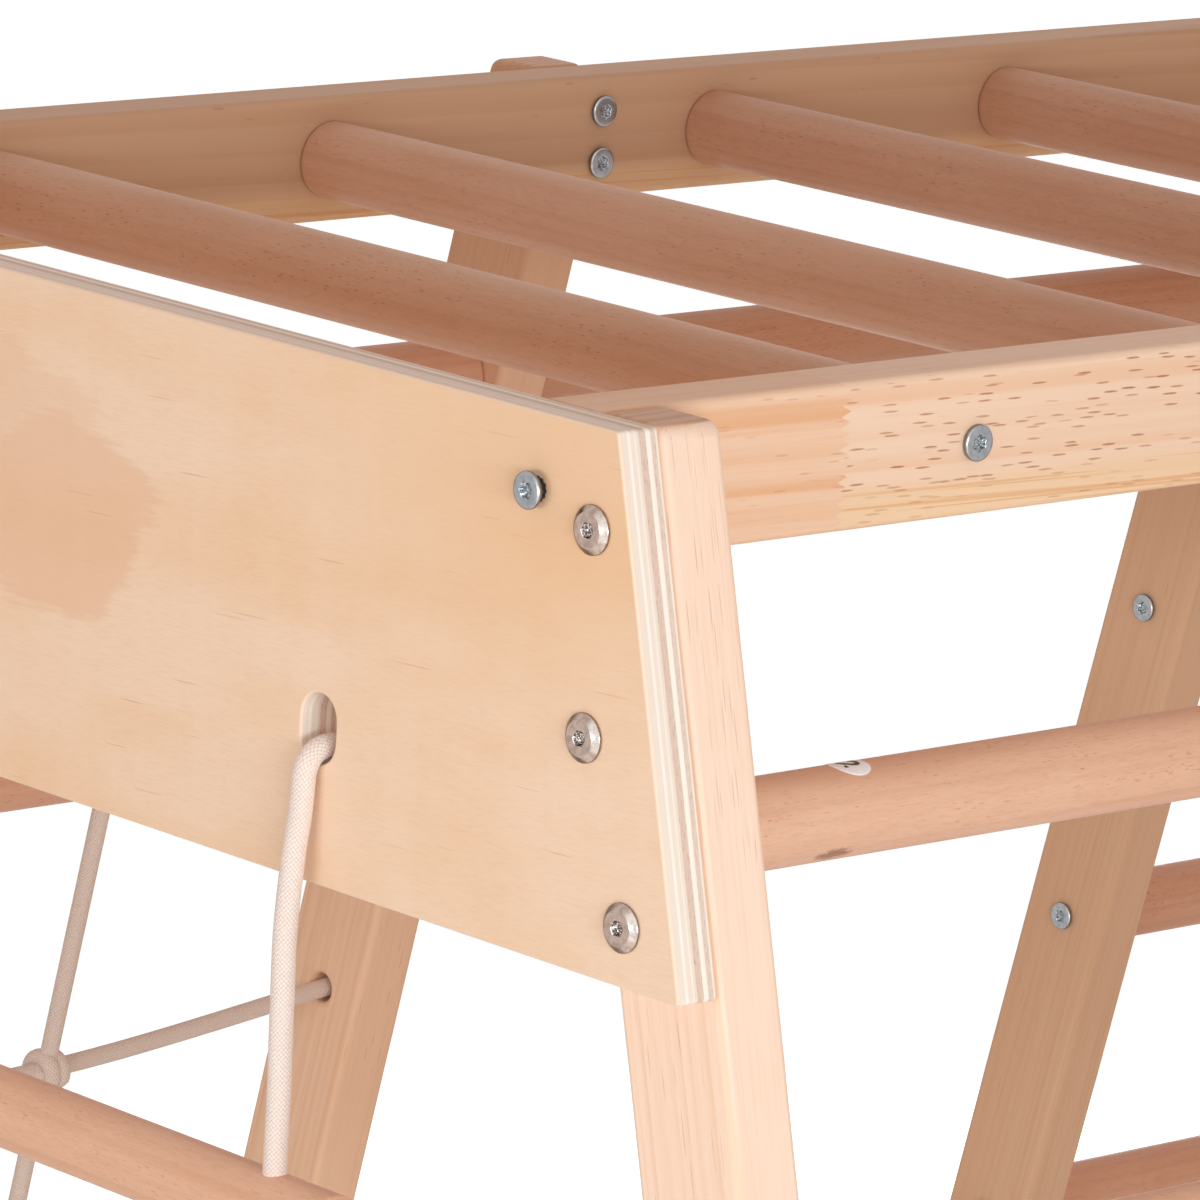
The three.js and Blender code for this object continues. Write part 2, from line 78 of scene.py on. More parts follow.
railMiddle = frameTop - frameSizes["railHeight"] / 2
sideSigns = {"right": 1, "left": -1}
bayNames = ["front", "mid", "back"]
rowNames = list(frameSizes["rows"])
rows = {name: (boardFront + near, boardFront + far) for name, (near, far) in frameSizes["rows"].items()}


def legOuter(z):
    # Outer face of a right leg at a height: half the top's width plus the lean times the drop
    return halfTop + (frameTop - z) * math.tan(lean)


def legMiddle(z):
    return legOuter(z) - legAcross / 2


def middle(name):
    return np.array(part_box(name), float).mean(0)


def rungName(side, bay, level):
    return f"rung_{side}_{bayNames[bay]}_{level}" if 0 <= bay < len(bayNames) else ""


rungs = [(side, bay, level) for side in sideSigns for bay in range(3) for level in range(1, 8)
         if rungName(side, bay, level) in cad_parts]

# The camera stands by the board's upper right corner

cameraView = {
    "azimuth": math.radians(47.13),
    "elevation": math.radians(12.47),
    "roll": math.radians(3.35),
    "fromCorner": (1.8986, -1.7653, 0.504),
    "focalPixels": 8098,
    "middlePixel": 639,              # picture row that the lens looks straight at
    "framePixels": 1200,
    "sensor": 36,
}


def makeCamera(view):
    # The camera's back is (sin a cos e, -cos a cos e, sin e); its right and up turn by the roll
    a, e, roll = view["azimuth"], view["elevation"], view["roll"]
    back = np.array([math.sin(a) * math.cos(e), -math.cos(a) * math.cos(e), math.sin(e)])
    level = np.array([math.cos(a), math.sin(a), 0])
    above = np.cross(back, level)
    right = math.cos(roll) * level + math.sin(roll) * above
    up = math.cos(roll) * above - math.sin(roll) * level
    data = bpy.data.cameras.new("camera")
    data.sensor_width = view["sensor"]
    data.lens = view["sensor"] * view["focalPixels"] / view["framePixels"]
    data.shift_y = view["middlePixel"] / view["framePixels"] - 0.5
    camera = bpy.data.objects.new("camera", data)
    turn = Matrix(np.column_stack([right, up, back]).tolist()).to_4x4()
    place = Vector((halfTop, boardFront, frameTop)) + Vector(view["fromCorner"])
    camera.matrix_world = Matrix.Translation(place) @ turn
    bpy.context.scene.collection.objects.link(camera)
    bpy.context.scene.camera = camera


makeCamera(cameraView)
bpy.context.scene.view_settings.view_transform = "Standard"
print("camera set")


# Surfaces: each maker returns points and faces

def circleAngles(sides):
    return np.arange(sides) * (2 * math.pi / sides)


def rowsOfQuads(count, sides):
    # Faces of closed rows: each joins two neighbours in a row with the two below them
    across = np.arange(sides)
    here = np.arange(count - 1)[:, None] * sides + across
    beside = here - across + (across + 1) % sides
    return np.stack([here, beside, beside + sides, here + sides], axis=-1).reshape(-1, 4).tolist()


def capped(count, sides):
    last = (count - 1) * sides
    return rowsOfQuads(count, sides) + [list(range(sides))[::-1], list(range(last, last + sides))]


def joined(pieces):
    # Puts (points, faces) pairs in one pair
    points, faces, count = [], [], 0
    for somePoints, someFaces, *_ in pieces:
        points.append(np.asarray(somePoints, float).reshape(-1, 3))
        faces.extend([index + count for index in face] for face in someFaces)
        count += len(points[-1])
    return np.concatenate(points), faces


def recalculateNormals(mesh):
    work = bmesh.new()
    work.from_mesh(mesh)
    bmesh.ops.recalc_face_normals(work, faces=work.faces)
    work.to_mesh(mesh)
    work.free()


def makePiece(name, points, faces, flatAbove=None, turnOut=True):
    # A mesh object at the origin. Caps, and quads whose shortest edge is over flatAbove, stay flat
    mesh = bpy.data.meshes.new(name)
    mesh.from_pydata(points.tolist(), [], faces)
    mesh.update()
    smooth = np.ones(len(faces), bool)
    if flatAbove is not None:
        for number, face in enumerate(faces):
            edges = points[face] - points[face[-1:] + face[:-1]]
            smooth[number] = np.linalg.norm(edges, axis=1).min() < flatAbove and len(face) == 4
    mesh.polygons.foreach_set("use_smooth", smooth)
    piece = bpy.data.objects.new(name, mesh)
    bpy.context.scene.collection.objects.link(piece)
    if turnOut:
        recalculateNormals(mesh)
    return piece


def turned(profile, sides, wave=None):
    # A revolve about +Z: the radius and height of each profile point, carried round a circle.
    # Where a point has a third value, its radius swells by that share of the wave
    profile = np.asarray(profile, float)
    angle = circleAngles(sides)
    radius = profile[:, :1] * (1 + profile[:, 2:] * wave(angle) if wave else np.ones(sides))
    high = np.broadcast_to(profile[:, 1:2], radius.shape)
    points = np.stack([radius * np.cos(angle), radius * np.sin(angle), high], axis=-1)
    return points.reshape(-1, 3), capped(len(profile), sides)


def along(points, start, direction):
    # Turns a piece made along +Z to a direction, and moves it to its start
    turn = Vector((0, 0, 1)).rotation_difference(Vector(direction).normalized()).to_matrix()
    return np.asarray(points) @ np.array(turn).T + np.asarray(start, float)


def eased(radius, low, high, ease, steps=4, hold=0.0015):
    # Profile of a rod with round ends: a quarter circle, a straight side and a quarter circle.
    # Rings a little way in keep the side straight
    bend = np.linspace(0, math.pi / 2, steps + 1)
    foot = np.stack([radius - ease + ease * np.sin(bend), low + ease - ease * np.cos(bend)], axis=-1)
    head = np.stack([foot[::-1, 0], low + high - foot[::-1, 1]], axis=-1)
    return np.concatenate([foot, [[radius, low + ease + hold], [radius, high - ease - hold]], head])


def outlineInset(outline, inset):
    # Moves each corner of a closed outline inwards along its mitre
    before = outline - np.roll(outline, 1, axis=0)
    after = np.roll(outline, -1, axis=0) - outline
    before, after = [run / np.linalg.norm(run, axis=1)[:, None] for run in (before, after)]
    normalA, normalB = [np.stack([-run[:, 1], run[:, 0]], axis=-1) for run in (before, after)]
    return outline + inset * (normalA + normalB) / (1 + (normalA * normalB).sum(1))[:, None]


def roundedOutline(outline, radii, steps=4):
    # Replaces each corner by an arc that touches both of its sides
    outline = np.asarray(outline, float)
    radii = np.broadcast_to(radii, len(outline))
    if np.cross(outline, np.roll(outline, -1, axis=0)).sum() < 0:
        outline, radii = outline[::-1], radii[::-1]
    found = []
    for number, (corner, radius) in enumerate(zip(outline, radii)):
        back = outline[number - 1] - corner
        ahead = outline[(number + 1) % len(outline)] - corner
        back, ahead = back / np.linalg.norm(back), ahead / np.linalg.norm(ahead)
        half = math.acos(np.clip(back @ ahead, -1, 1)) / 2
        both = back + ahead
        centre = corner + both / np.linalg.norm(both) * radius / math.sin(half)
        start = corner + back * radius / math.tan(half) - centre
        sweep = math.copysign(math.pi - 2 * half, np.cross(-back, ahead))
        for angle in np.linspace(0, sweep, steps + 1):
            c, s = math.cos(angle), math.sin(angle)
            found.append(centre + [c * start[0] - s * start[1], s * start[0] + c * start[1]])
    return np.array(found)


def plank(outline, near, far, ease, holes=(), steps=3):
    # An outline in X and Z, extruded along Y, with its edges rounded by quarter circles
    bend = np.linspace(0, math.pi / 2, steps + 1)
    inset, depth = ease * (1 - np.sin(bend)), ease * (1 - np.cos(bend))
    insets = np.concatenate([inset, inset[::-1]])
    places = np.concatenate([near + depth, far - depth[::-1]])
    walls = []
    for line in [outline, *holes]:
        loops = [outlineInset(line, size) for size in insets]
        points = np.array([[[x, y, z] for x, z in loop] for loop, y in zip(loops, places)])
        walls.append((points, rowsOfQuads(len(places), len(line))))
    allPoints, faces = joined(walls)
    for end in (0, -1):
        rings = [[Vector((x, z, 0)) for x, _, z in points[end]] for points, _ in walls]
        index, first = [], 0
        for points, _ in walls:
            count, width = points.shape[:2]
            start = first if end == 0 else first + (count - 1) * width
            index.extend(range(start, start + width))
            first += count * width
        faces.extend([index[corner] for corner in corners] for corners in tessellate_polygon(rings))
    return allPoints, faces


def tube(route, radius, sides, relief=None, closed=False):
    # A round section carried along a route by a frame that never twists. relief changes the radius
    # by the angle and the way along. The UV of each point is returned too
    route = np.asarray(route, float)
    count = len(route)
    ahead = np.roll(route, -1, 0) - np.roll(route, 1, 0) if closed else np.gradient(route, axis=0)
    ahead /= np.linalg.norm(ahead, axis=1)[:, None]
    side, found = np.cross(ahead[0], [0.31, 0.87, 0.21]), []      # a way that no route here takes
    for way in ahead:
        side = side - way * (side @ way)
        side = side / np.linalg.norm(side)
        found.append(side)
    side = np.array(found)
    above = np.cross(ahead, side)
    if closed:
        # what the last frame lacks to meet the first is shared out along the ring
        slip = math.atan2(np.cross(side[-1], side[0]) @ ahead[0], side[-1] @ side[0])
        twist = (-slip * np.arange(count) / count)[:, None]
        side, above = (side * np.cos(twist) + above * np.sin(twist),
                       above * np.cos(twist) - side * np.sin(twist))
    way = np.concatenate([[0], np.cumsum(np.linalg.norm(np.diff(route, axis=0), axis=1))])[:, None]
    angle = circleAngles(sides)
    size = radius * (relief(angle, way) if relief else np.ones((count, sides)))
    points = (route[:, None] + (size * np.cos(angle))[:, :, None] * side[:, None]
              + (size * np.sin(angle))[:, :, None] * above[:, None])
    faces = capped(count, sides)
    if closed:
        faces = [[index % (count * sides) for index in face] for face in rowsOfQuads(count + 1, sides)]
    uv = np.stack(np.broadcast_arrays(angle / (2 * math.pi), way), axis=-1)
    return points.reshape(-1, 3), faces, uv.reshape(-1, 2)


def smoothRoute(points, spacing, fine=24):
    # Points at an even spacing on a centripetal curve through given ones: the ways between
    # the four nearest are mixed in three rounds
    points = np.asarray(points, float)
    padded = np.concatenate([[2 * points[0] - points[1]], points, [2 * points[-1] - points[-2]]])

    def between(first, second, start, end):
        return (end - t) / (end - start) * first + (t - start) / (end - start) * second

    found = []
    for a, b, c, d in zip(padded, padded[1:], padded[2:], padded[3:]):
        knots = np.cumsum([0] + [np.linalg.norm(q - p) ** 0.5 for p, q in ((a, b), (b, c), (c, d))])
        t = np.linspace(knots[1], knots[2], fine, endpoint=False)[:, None]
        ab, bc, cd = [between(p, q, *knots[n:n + 2]) for n, (p, q) in enumerate(((a, b), (b, c), (c, d)))]
        left, right = between(ab, bc, knots[0], knots[2]), between(bc, cd, knots[1], knots[3])
        found.append(between(left, right, knots[1], knots[2]))
    line = np.concatenate([*found, points[-1:]])
    way = np.concatenate([[0], np.cumsum(np.linalg.norm(np.diff(line, axis=0), axis=1))])
    even = np.linspace(0, way[-1], max(2, int(round(way[-1] / spacing)) + 1))
    return np.stack([np.interp(even, way, line[:, axis]) for axis in range(3)], axis=-1)


def setPointUv(piece, uv, name="lay"):
    # Copies a UV for each point to each face corner, and mends the seam where it wraps round
    mesh = piece.data
    corner = np.zeros(len(mesh.loops), int)
    mesh.loops.foreach_get("vertex_index", corner)
    values = uv[corner].astype(float)
    starts, totals = np.zeros((2, len(mesh.polygons)), int)
    mesh.polygons.foreach_get("loop_start", starts)
    mesh.polygons.foreach_get("loop_total", totals)
    quads = starts[totals == 4][:, None] + np.arange(4)
    around = values[quads, 0]
    wraps = around.max(1) - around.min(1) > 0.5
    around[wraps] += around[wraps] < 0.5
    values[quads, 0] = around
    mesh.uv_layers.new(name=name).data.foreach_set("uv", values.astype(np.float32).ravel())


def woundPiece(name, pieces, layer="lay", flatAbove=None):
    # One mesh of several, with their UV
    piece = makePiece(name, *joined(pieces), flatAbove)
    setPointUv(piece, np.concatenate([uv for _, _, uv in pieces]), layer)
    return piece


# Shader nodes. put() adds them to the tree in hand

inHand = {}


def linear(red, green, blue):
    # A colour read from a picture, 0 to 255, as linear light
    value = np.array([red, green, blue]) / 255
    light = np.where(value <= 0.04045, value / 12.92, ((value + 0.055) / 1.055) ** 2.4)
    return (*light.tolist(), 1)


def deeper(colour, tint):
    return tuple(part * share for part, share in zip(colour, (*tint, 1)))


def fill(node, inputs):
    # An input is a value, or a socket to link
    for key, value in inputs.items():
        if isinstance(value, bpy.types.NodeSocket):
            inHand["tree"].links.new(value, node.inputs[key])
        else:
            node.inputs[key].default_value = value


def put(kind, inputs, **settings):
    made = inHand["tree"].nodes.new("ShaderNode" + kind)
    for key, value in settings.items():
        setattr(made, key, value)
    fill(made, inputs)
    return made


def maths(operation, *values, clamp=False):
    return put("Math", dict(enumerate(values)), operation=operation, use_clamp=clamp).outputs[0]


def times(first, second):
    return maths("MULTIPLY", first, second)


def vectors(operation, *values):
    made = put("VectorMath", dict(enumerate(values)), operation=operation)
    return made.outputs[1 if operation in ("LENGTH", "DOT_PRODUCT") else 0]


def scaled(vector, x, y, z):
    return vectors("MULTIPLY", vector, (x, y, z))


def xyz(x, y=0, z=0):
    return put("CombineXYZ", {0: x, 1: y, 2: z}).outputs[0]


def parts(vector):
    return put("SeparateXYZ", {0: vector}).outputs


def coordinate(kind="Object"):
    return put("TexCoord", {}).outputs[kind]


def step(value, low, high, toLow=0, toHigh=1):
    # A smooth step of a value from low to high
    return put("MapRange", {0: value, 1: low, 2: high, 3: toLow, 4: toHigh},
               interpolation_type="SMOOTHSTEP").outputs[0]


def mixed(share, first, second, blend="MIX"):
    return put("Mix", {0: share, 6: first, 7: second}, data_type="RGBA", blend_type=blend).outputs[2]


def laid(colour, over, mask, strength=1):
    # Lays a colour over another, as far as the mask and its strength say
    return mixed(times(mask, strength), colour, over)


def noise(vector, detail=2, rough=0.5, out=0):
    return put("TexNoise", {"Vector": vector, "Scale": 1, "Detail": detail, "Roughness": rough}).outputs[out]


def grains(place, x, y, z, detail=2, rough=0.5, out=0):
    # Noise with so many waves to a metre along each axis
    return noise(scaled(place, x, y, z), detail, rough, out)


def shaderGroup(name, inputs, outputs):
    # A node group. Its inputs are names and values, None for a vector to link
    tree = bpy.data.node_groups.new(name, "ShaderNodeTree")
    for label, value in inputs.items():
        kind = "NodeSocketFloat" if isinstance(value, float) else "NodeSocketVector"
        socket = tree.interface.new_socket(label, in_out="INPUT", socket_type=kind)
        if value is not None:
            socket.default_value = value
    for label in outputs:
        tree.interface.new_socket(label, in_out="OUTPUT", socket_type="NodeSocketFloat")
    inHand["tree"] = tree
    return tree, tree.nodes.new("NodeGroupInput").outputs, tree.nodes.new("NodeGroupOutput")


def useGroup(group, inputs):
    return put("Group", inputs, node_tree=group).outputs


def newMaterial(name):
    material = bpy.data.materials.new(name)
    material.use_nodes = True
    inHand["tree"] = material.node_tree
    material.node_tree.nodes.clear()
    return material


def dress(inputs, height=None, distance=0):
    # The shader, with its bump in metres
    if height is not None:
        bump = put("Bump", {"Height": height, "Distance": distance, "Strength": 1}).outputs[0]
        inputs = {**inputs, "Normal": bump}
    put("OutputMaterial", {0: put("BsdfPrincipled", inputs).outputs[0]})


def centred(colour):
    return vectors("SUBTRACT", colour, (0.5, 0.5, 0.5))


def buildRingFigure():
    # Growth rings: the distance from the pith, which lies along Z beside the piece, in ring widths.
    # Late wood darkens slowly over each ring and ends sharply
    tree, given, out = shaderGroup(
        "ringFigure",
        {"Position": None, "Ring width": 0.006, "Pith across": 0.05, "Pith deep": 0.05, "Waver": 0.006},
        ["Late wood", "Fibre", "Cloud"])
    place = given["Position"]
    sway = centred(grains(place, 22, 22, 2.2, 1, out="Color"))
    wander = put("VectorMath", {0: sway, "Scale": given["Waver"]}, operation="SCALE").outputs[0]
    pith = xyz(given["Pith across"], given["Pith deep"])
    fromPith = vectors("SUBTRACT", vectors("ADD", place, wander), pith)
    radius = vectors("LENGTH", scaled(fromPith, 1, 1, 0))
    uneven = noise(xyz(times(radius, 60)), 0)
    ring = maths("MULTIPLY_ADD", uneven, 1.6, maths("DIVIDE", radius, given["Ring width"]))
    share = maths("FRACT", ring)
    each = put("TexWhiteNoise", {"W": maths("FLOOR", ring)}, noise_dimensions="1D").outputs["Value"]
    late = times(step(share, 0.3, 0.88), step(share, 0.88, 1, 1, 0))
    fill(out, {"Late wood": times(late, maths("MULTIPLY_ADD", each, 0.65, 0.35)),
               "Fibre": grains(place, 950, 950, 22, 3, 0.6), "Cloud": grains(place, 14, 14, 2.5)})
    return tree


def buildFlecks():
    # Short dark streaks along the grain: the middles of stretched cells, of which a share shows
    tree, given, out = shaderGroup(
        "flecks", {"Position": None, "Stretch": (520, 520, 110), "Size": 0.2, "Share": 0.3}, ["Mask"])
    place = vectors("MULTIPLY", given["Position"], given["Stretch"])
    ragged = scaled(centred(grains(place, 3, 3, 3, out="Color")), 0.22, 0.22, 0.22)
    cells = put("TexVoronoi", {"Vector": vectors("ADD", place, ragged), "Scale": 1, "Randomness": 1}).outputs
    near = maths("DIVIDE", maths("SUBTRACT", given["Size"], cells["Distance"]), given["Size"])
    chosen = maths("ADD", put("SeparateColor", {0: cells["Color"]}).outputs[0], given["Share"])
    fill(out, {"Mask": times(step(near, 0, 0.4), step(chosen, 0.95, 1.1))})
    return tree


# Share of the board's thickness, and how dark the ply or the glue line is there
plies = [
    (0.05, 0.12), (0.075, 0.36), (0.19, 0.36), (0.205, 0.0), (0.265, 0.0), (0.28, 0.4), (0.37, 0.34),
    (0.385, 0.1), (0.41, 0.12), (0.425, 0.42), (0.48, 0.4), (0.495, 0.95), (0.645, 0.85), (0.66, 0.0),
    (0.765, 0.0), (0.785, 0.8), (0.895, 0.7), (0.91, 0.1), (0.985, 0.15),
]


def buildPlyLayers():
    # The plies' tone by depth from the board's face, as a share of its thickness. The borders sway a
    # little along the board, and the plies laid crosswise show pores
    tree, given, out = shaderGroup(
        "plyLayers", {"Position": None, "Face depth": 0.0, "Thickness": 0.0177},
        ["Tone", "Pore", "Streak", "Veneer"])
    place = given["Position"]
    depth = maths("SUBTRACT", parts(place)[1], given["Face depth"])
    sway = maths("MULTIPLY_ADD", grains(place, 11, 40, 11), 0.05, -0.025)
    ramp = put("ValToRGB", {0: maths("ADD", maths("DIVIDE", depth, given["Thickness"]), sway)})
    stops = ramp.color_ramp.elements
    while len(stops) < len(plies):
        stops.new(1.0)
    for stop, (position, tone) in zip(stops, plies):
        stop.position = position
        stop.color = (tone, tone, tone, 1)
    tone = put("SeparateColor", {0: ramp.outputs[0]}).outputs[0]
    pores = step(grains(place, 900, 2600, 320, 3, 0.6), 0.5, 0.68)
    edge = maths("MINIMUM", depth, maths("SUBTRACT", given["Thickness"], depth))
    fill(out, {"Tone": tone, "Pore": times(pores, step(tone, 0.3, 0.7)),
               "Streak": step(grains(place, 160, 2400, 40, 3, 0.6), 0.42, 0.72),
               "Veneer": step(edge, 0.0011, 0.0013, 1, 0)})
    return tree


def buildEndGrain():
    # How far a face looks along the grain: the piece's own normal against the grain's direction
    tree, given, out = shaderGroup("endGrain", {"Grain": (0, 0, 1)}, ["Mask"])
    facing = maths("ABSOLUTE", vectors("DOT_PRODUCT", coordinate("Normal"), given["Grain"]))
    fill(out, {"Mask": step(facing, 0.72, 0.9)})
    return tree


def buildBraid():
    # Diamond braid on the rope's own UV: two families of strands cross, and a chequer says which
    # one lies on top
    tree, given, out = shaderGroup("braid", {"Uv": None, "Strands": 16.0, "Pitch": 0.0017}, ["Height", "Fuzz"])
    u, v, _ = parts(given["Uv"])
    around, lengthwise = times(u, given["Strands"]), maths("DIVIDE", v, given["Pitch"])
    families = [maths(way, around, lengthwise) for way in ("ADD", "SUBTRACT")]
    odd = maths("ADD", *[maths("FLOOR", family) for family in families])
    odd = maths("FLOORED_MODULO", odd, 2)
    waves = [maths("SINE", times(maths("FRACT", family), math.pi)) for family in families]
    top, under = [put("Mix", {0: odd, 2: one, 3: other}, data_type="FLOAT").outputs[0]
                  for one, other in (waves, waves[::-1])]
    strand = xyz(times(around, 3.1), times(lengthwise, 2.3))
    fill(out, {"Height": times(top, maths("MULTIPLY_ADD", under, 0.4, 0.6)), "Fuzz": noise(strand, 4, 0.75)})
    return tree


ringFigure = buildRingFigure()
flecks = buildFlecks()
plyLayers = buildPlyLayers()
endGrain = buildEndGrain()
braid = buildBraid()


# Woods

woodSheen = 0.16                         # oiled and nearly dull
lengthwiseTurn = (math.pi / 2, 0, 0)     # grain along Y
crosswiseTurn = (0, -math.pi / 2, 0)     # grain along X


def grainPlace(turn, seed):
    # Object coordinates turned so that the grain runs along Z, moved to a place of their own
    shift = ((seed * 0.37) % 1, (seed * 0.61) % 1, (seed * 1.73) % 3)
    return put("Mapping", {"Vector": coordinate(), "Rotation": turn, "Location": shift}).outputs[0], shift


def rings(place, shift, pith, width, waver):
    return useGroup(ringFigure, {"Position": place, "Ring width": width, "Waver": waver,
                                 "Pith across": shift[0] + pith[0], "Pith deep": shift[1] + pith[1]})


def oiled(colour, roughness, height, distance):
    dress({"Base Color": colour, "Roughness": roughness, "Specular IOR Level": woodSheen}, height, distance)


pines = {
    "leg": {"early": linear(254, 224, 202), "late": linear(238, 192, 154), "cloud": linear(250, 212, 186),
            "figure": 0.7, "streak": 0.1, "rings": (0.0062, 0.003), "fleckDark": 0.34,
            "flecks": {"Stretch": (1000, 1000, 30), "Size": 0.3, "Share": 0.3}},
    # every leg but the near one: deeper colours, as painted shade on the legs further back
    "farLegShaded": {"early": linear(243, 203, 172), "late": linear(226, 176, 136), "cloud": linear(236, 190, 156),
               "figure": 0.4, "streak": 0.3, "rings": (0.0062, 0.003), "fleckDark": 0.4,
               "flecks": {"Stretch": (900, 900, 36), "Size": 0.2, "Share": 0.15}},
    "rail": {"early": linear(248, 215, 189), "late": linear(232, 170, 120), "cloud": linear(240, 201, 170),
             "figure": 0.9, "streak": 0.34, "rings": (0.0115, 0.006), "fleckDark": 0.8,
             "flecks": {"Stretch": (800, 800, 84), "Size": 0.36, "Share": 0.2}},
    # deeper colours, as painted shade on the far rail
    "farRailShaded": {"early": linear(212, 173, 142), "late": linear(190, 138, 100), "cloud": linear(204, 160, 126),
                "figure": 0.6, "streak": 0.3, "rings": (0.0115, 0.006), "fleckDark": 0.5,
                "flecks": {"Stretch": (430, 430, 80), "Size": 0.34, "Share": 0.1}},
    "end": linear(222, 178, 146),
    "endLate": linear(186, 138, 106),
    "fibre": linear(214, 160, 122),
    "fleck": linear(168, 86, 46),
    "streakGrain": (300, 300, 5, 3, 0.62),
    "patchGrain": (30, 30, 6),
    "topShadeHeights": (1.02, 1.17),        # between these a leg's upper end is painted darker, as painted shade
    "roughness": 0.5,
    "bump": 0.00008,
}
joint = {                                # finger joint in a rail
    "behindBoard": 0.134,
    "depth": 0.0045,
    "pitch": 0.0019,
    "otherWood": (0.0235, 0.006, 0.63),  # where the wood past it was cut
    "orange": linear(238, 186, 146),     # before the joint
    "sap": linear(244, 208, 164),        # yellow lower edge past it, and that edge's fine lines
    "sapLine": linear(226, 164, 108),
    "sapHeights": (railLow + 0.017, railLow + 0.009),
    "sapGrain": (60, 420, 3, 2, 0.6),
}


def pineMaterial(name, wood, turn, grain, seed, pith, jointed=False, tint=(1, 1, 1), topShade=None):
    # Planed pine. pith is the pith line's place beside the turned piece. tint deepens the whole
    # piece and topShade its upper end, both as painted shade
    early, late, cloud = [deeper(wood[key], tint) for key in ("early", "late", "cloud")]
    material = newMaterial(name)
    place, shift = grainPlace(turn, seed)
    own = parts(coordinate())
    if jointed:
        # past a zigzag line the figure is that of another place in the wood
        finger = maths("PINGPONG", own[2], joint["pitch"])
        finger = maths("MULTIPLY_ADD", finger, joint["depth"] / joint["pitch"], own[1])
        past = maths("GREATER_THAN", finger, boardFront + joint["behindBoard"])
        place = vectors("ADD", place, xyz(*[times(past, move) for move in joint["otherWood"]]))
    figure = rings(place, shift, pith, *wood["rings"])
    colour = laid(early, late, figure["Late wood"], wood["figure"])
    colour = laid(colour, pines["fibre"], step(figure["Fibre"], 0.42, 0.72), 0.14)
    colour = laid(colour, late, step(grains(place, *pines["streakGrain"]), 0.5, 0.68), wood["streak"])
    colour = laid(colour, cloud, step(figure["Cloud"], 0.35, 0.7), 0.45)
    # painted shade: a left leg's upper end darkens between topShadeHeights
    if topShade is not None:
        colour = mixed(step(own[2], *pines["topShadeHeights"]), colour, (*topShade, 1), "MULTIPLY")
    patches = step(grains(place, *pines["patchGrain"]), 0.4, 0.6, 0.55, 1)
    if jointed:
        colour = mixed(maths("MULTIPLY_ADD", past, -0.32, 0.32), colour, joint["orange"])
        colour = laid(colour, early, past, 0.45)
        edge = step(own[2], *joint["sapHeights"], 0, 0.6)
        colour = laid(colour, joint["sap"], past, edge)
        lines = step(grains(place, *joint["sapGrain"]), 0.52, 0.62)
        colour = laid(colour, joint["sapLine"], lines, times(past, edge))
        # the top edge is planed clear, and there are few marks before the joint and in the sap
        upward = step(parts(coordinate("Normal"))[2], 0.3, 0.9, 1, 0.25)
        for fewer in (upward, maths("MULTIPLY_ADD", past, 0.65, 0.35), maths("MULTIPLY_ADD", edge, -1, 1)):
            patches = times(patches, fewer)
    marks = useGroup(flecks, {"Position": place, **wood["flecks"]})["Mask"]
    colour = laid(colour, pines["fleck"], times(marks, patches), wood["fleckDark"])
    endColour = mixed(figure["Late wood"], pines["end"], pines["endLate"])
    colour = laid(colour, endColour, useGroup(endGrain, {"Grain": grain})["Mask"], 0.9)
    oiled(colour, pines["roughness"], maths("MULTIPLY_ADD", figure["Late wood"], 0.4, figure["Fibre"]),
          pines["bump"])
    return material


beech = {
    "base": linear(230, 180, 150),
    "dark": linear(206, 148, 116),
    "light": linear(240, 198, 170),
    "ray": linear(184, 112, 78),
    # deeper tones for the bars, as painted shade; the third is for the bars behind it too
    "barShadeTints": [(0.91, 0.93, 0.92), (0.9, 0.91, 0.91), (0.79, 0.75, 0.73)],
    # deeper tones for the left rungs, as painted shade
    "leftShadeTints": {"front": (0.88, 0.8, 0.77), "mid": (0.72, 0.6, 0.52), "back": (0.88, 0.8, 0.77)},
    "rings": (0.006, 0.012),
    "pith": (0.06, 0.03),
    "cloudGrain": (60, 60, 9, 3, 0.6),
    "fineGrain": (1500, 1500, 170, 3, 0.65),
    "patchGrain": (45, 45, 14),
    "rays": {"Stretch": (900, 900, 190), "Size": 0.3, "Share": 0.4},
    "knot": linear(138, 88, 62),         # a dark pin knot
    "knotReach": (230, 110, 320),        # one over its half axes
    "knotGrain": (700, 700, 240, 3, 0.7),
    "roughness": 0.45,
    "bump": 0.00005,
}


def beechMaterial(name, turn, grain, seed, tint=(1, 1, 1), knotAt=None):
    # Turned beech: an even pink-brown with short fine rays along the grain
    material = newMaterial(name)
    # tint deepens the rod's colours, as painted shade
    base, dark, light, ray = [deeper(beech[key], tint) for key in ("base", "dark", "light", "ray")]
    place, shift = grainPlace(turn, seed)
    figure = rings(place, shift, beech["pith"], *beech["rings"])
    colour = laid(base, dark, figure["Late wood"], 0.3)
    colour = laid(colour, light, step(grains(place, *beech["cloudGrain"]), 0.32, 0.7), 0.5)
    fine = step(grains(place, *beech["fineGrain"]), 0.44, 0.72)
    colour = laid(colour, dark, fine, 0.3)
    patches = step(grains(place, *beech["patchGrain"]), 0.36, 0.66)
    marks = useGroup(flecks, {"Position": place, **beech["rays"]})["Mask"]
    colour = laid(colour, ray, marks, times(patches, 0.5))
    if knotAt is not None:
        away = vectors("LENGTH", scaled(vectors("SUBTRACT", coordinate(), knotAt), *beech["knotReach"]))
        ragged = maths("SUBTRACT", grains(place, *beech["knotGrain"]), 0.5)
        away = maths("MULTIPLY_ADD", ragged, 1.6, away)
        colour = mixed(step(away, 0.45, 1.1, 0.75, 0), colour, beech["knot"])
    colour = laid(colour, dark, useGroup(endGrain, {"Grain": grain})["Mask"], 0.6)
    oiled(colour, beech["roughness"], fine, beech["bump"])
    return material


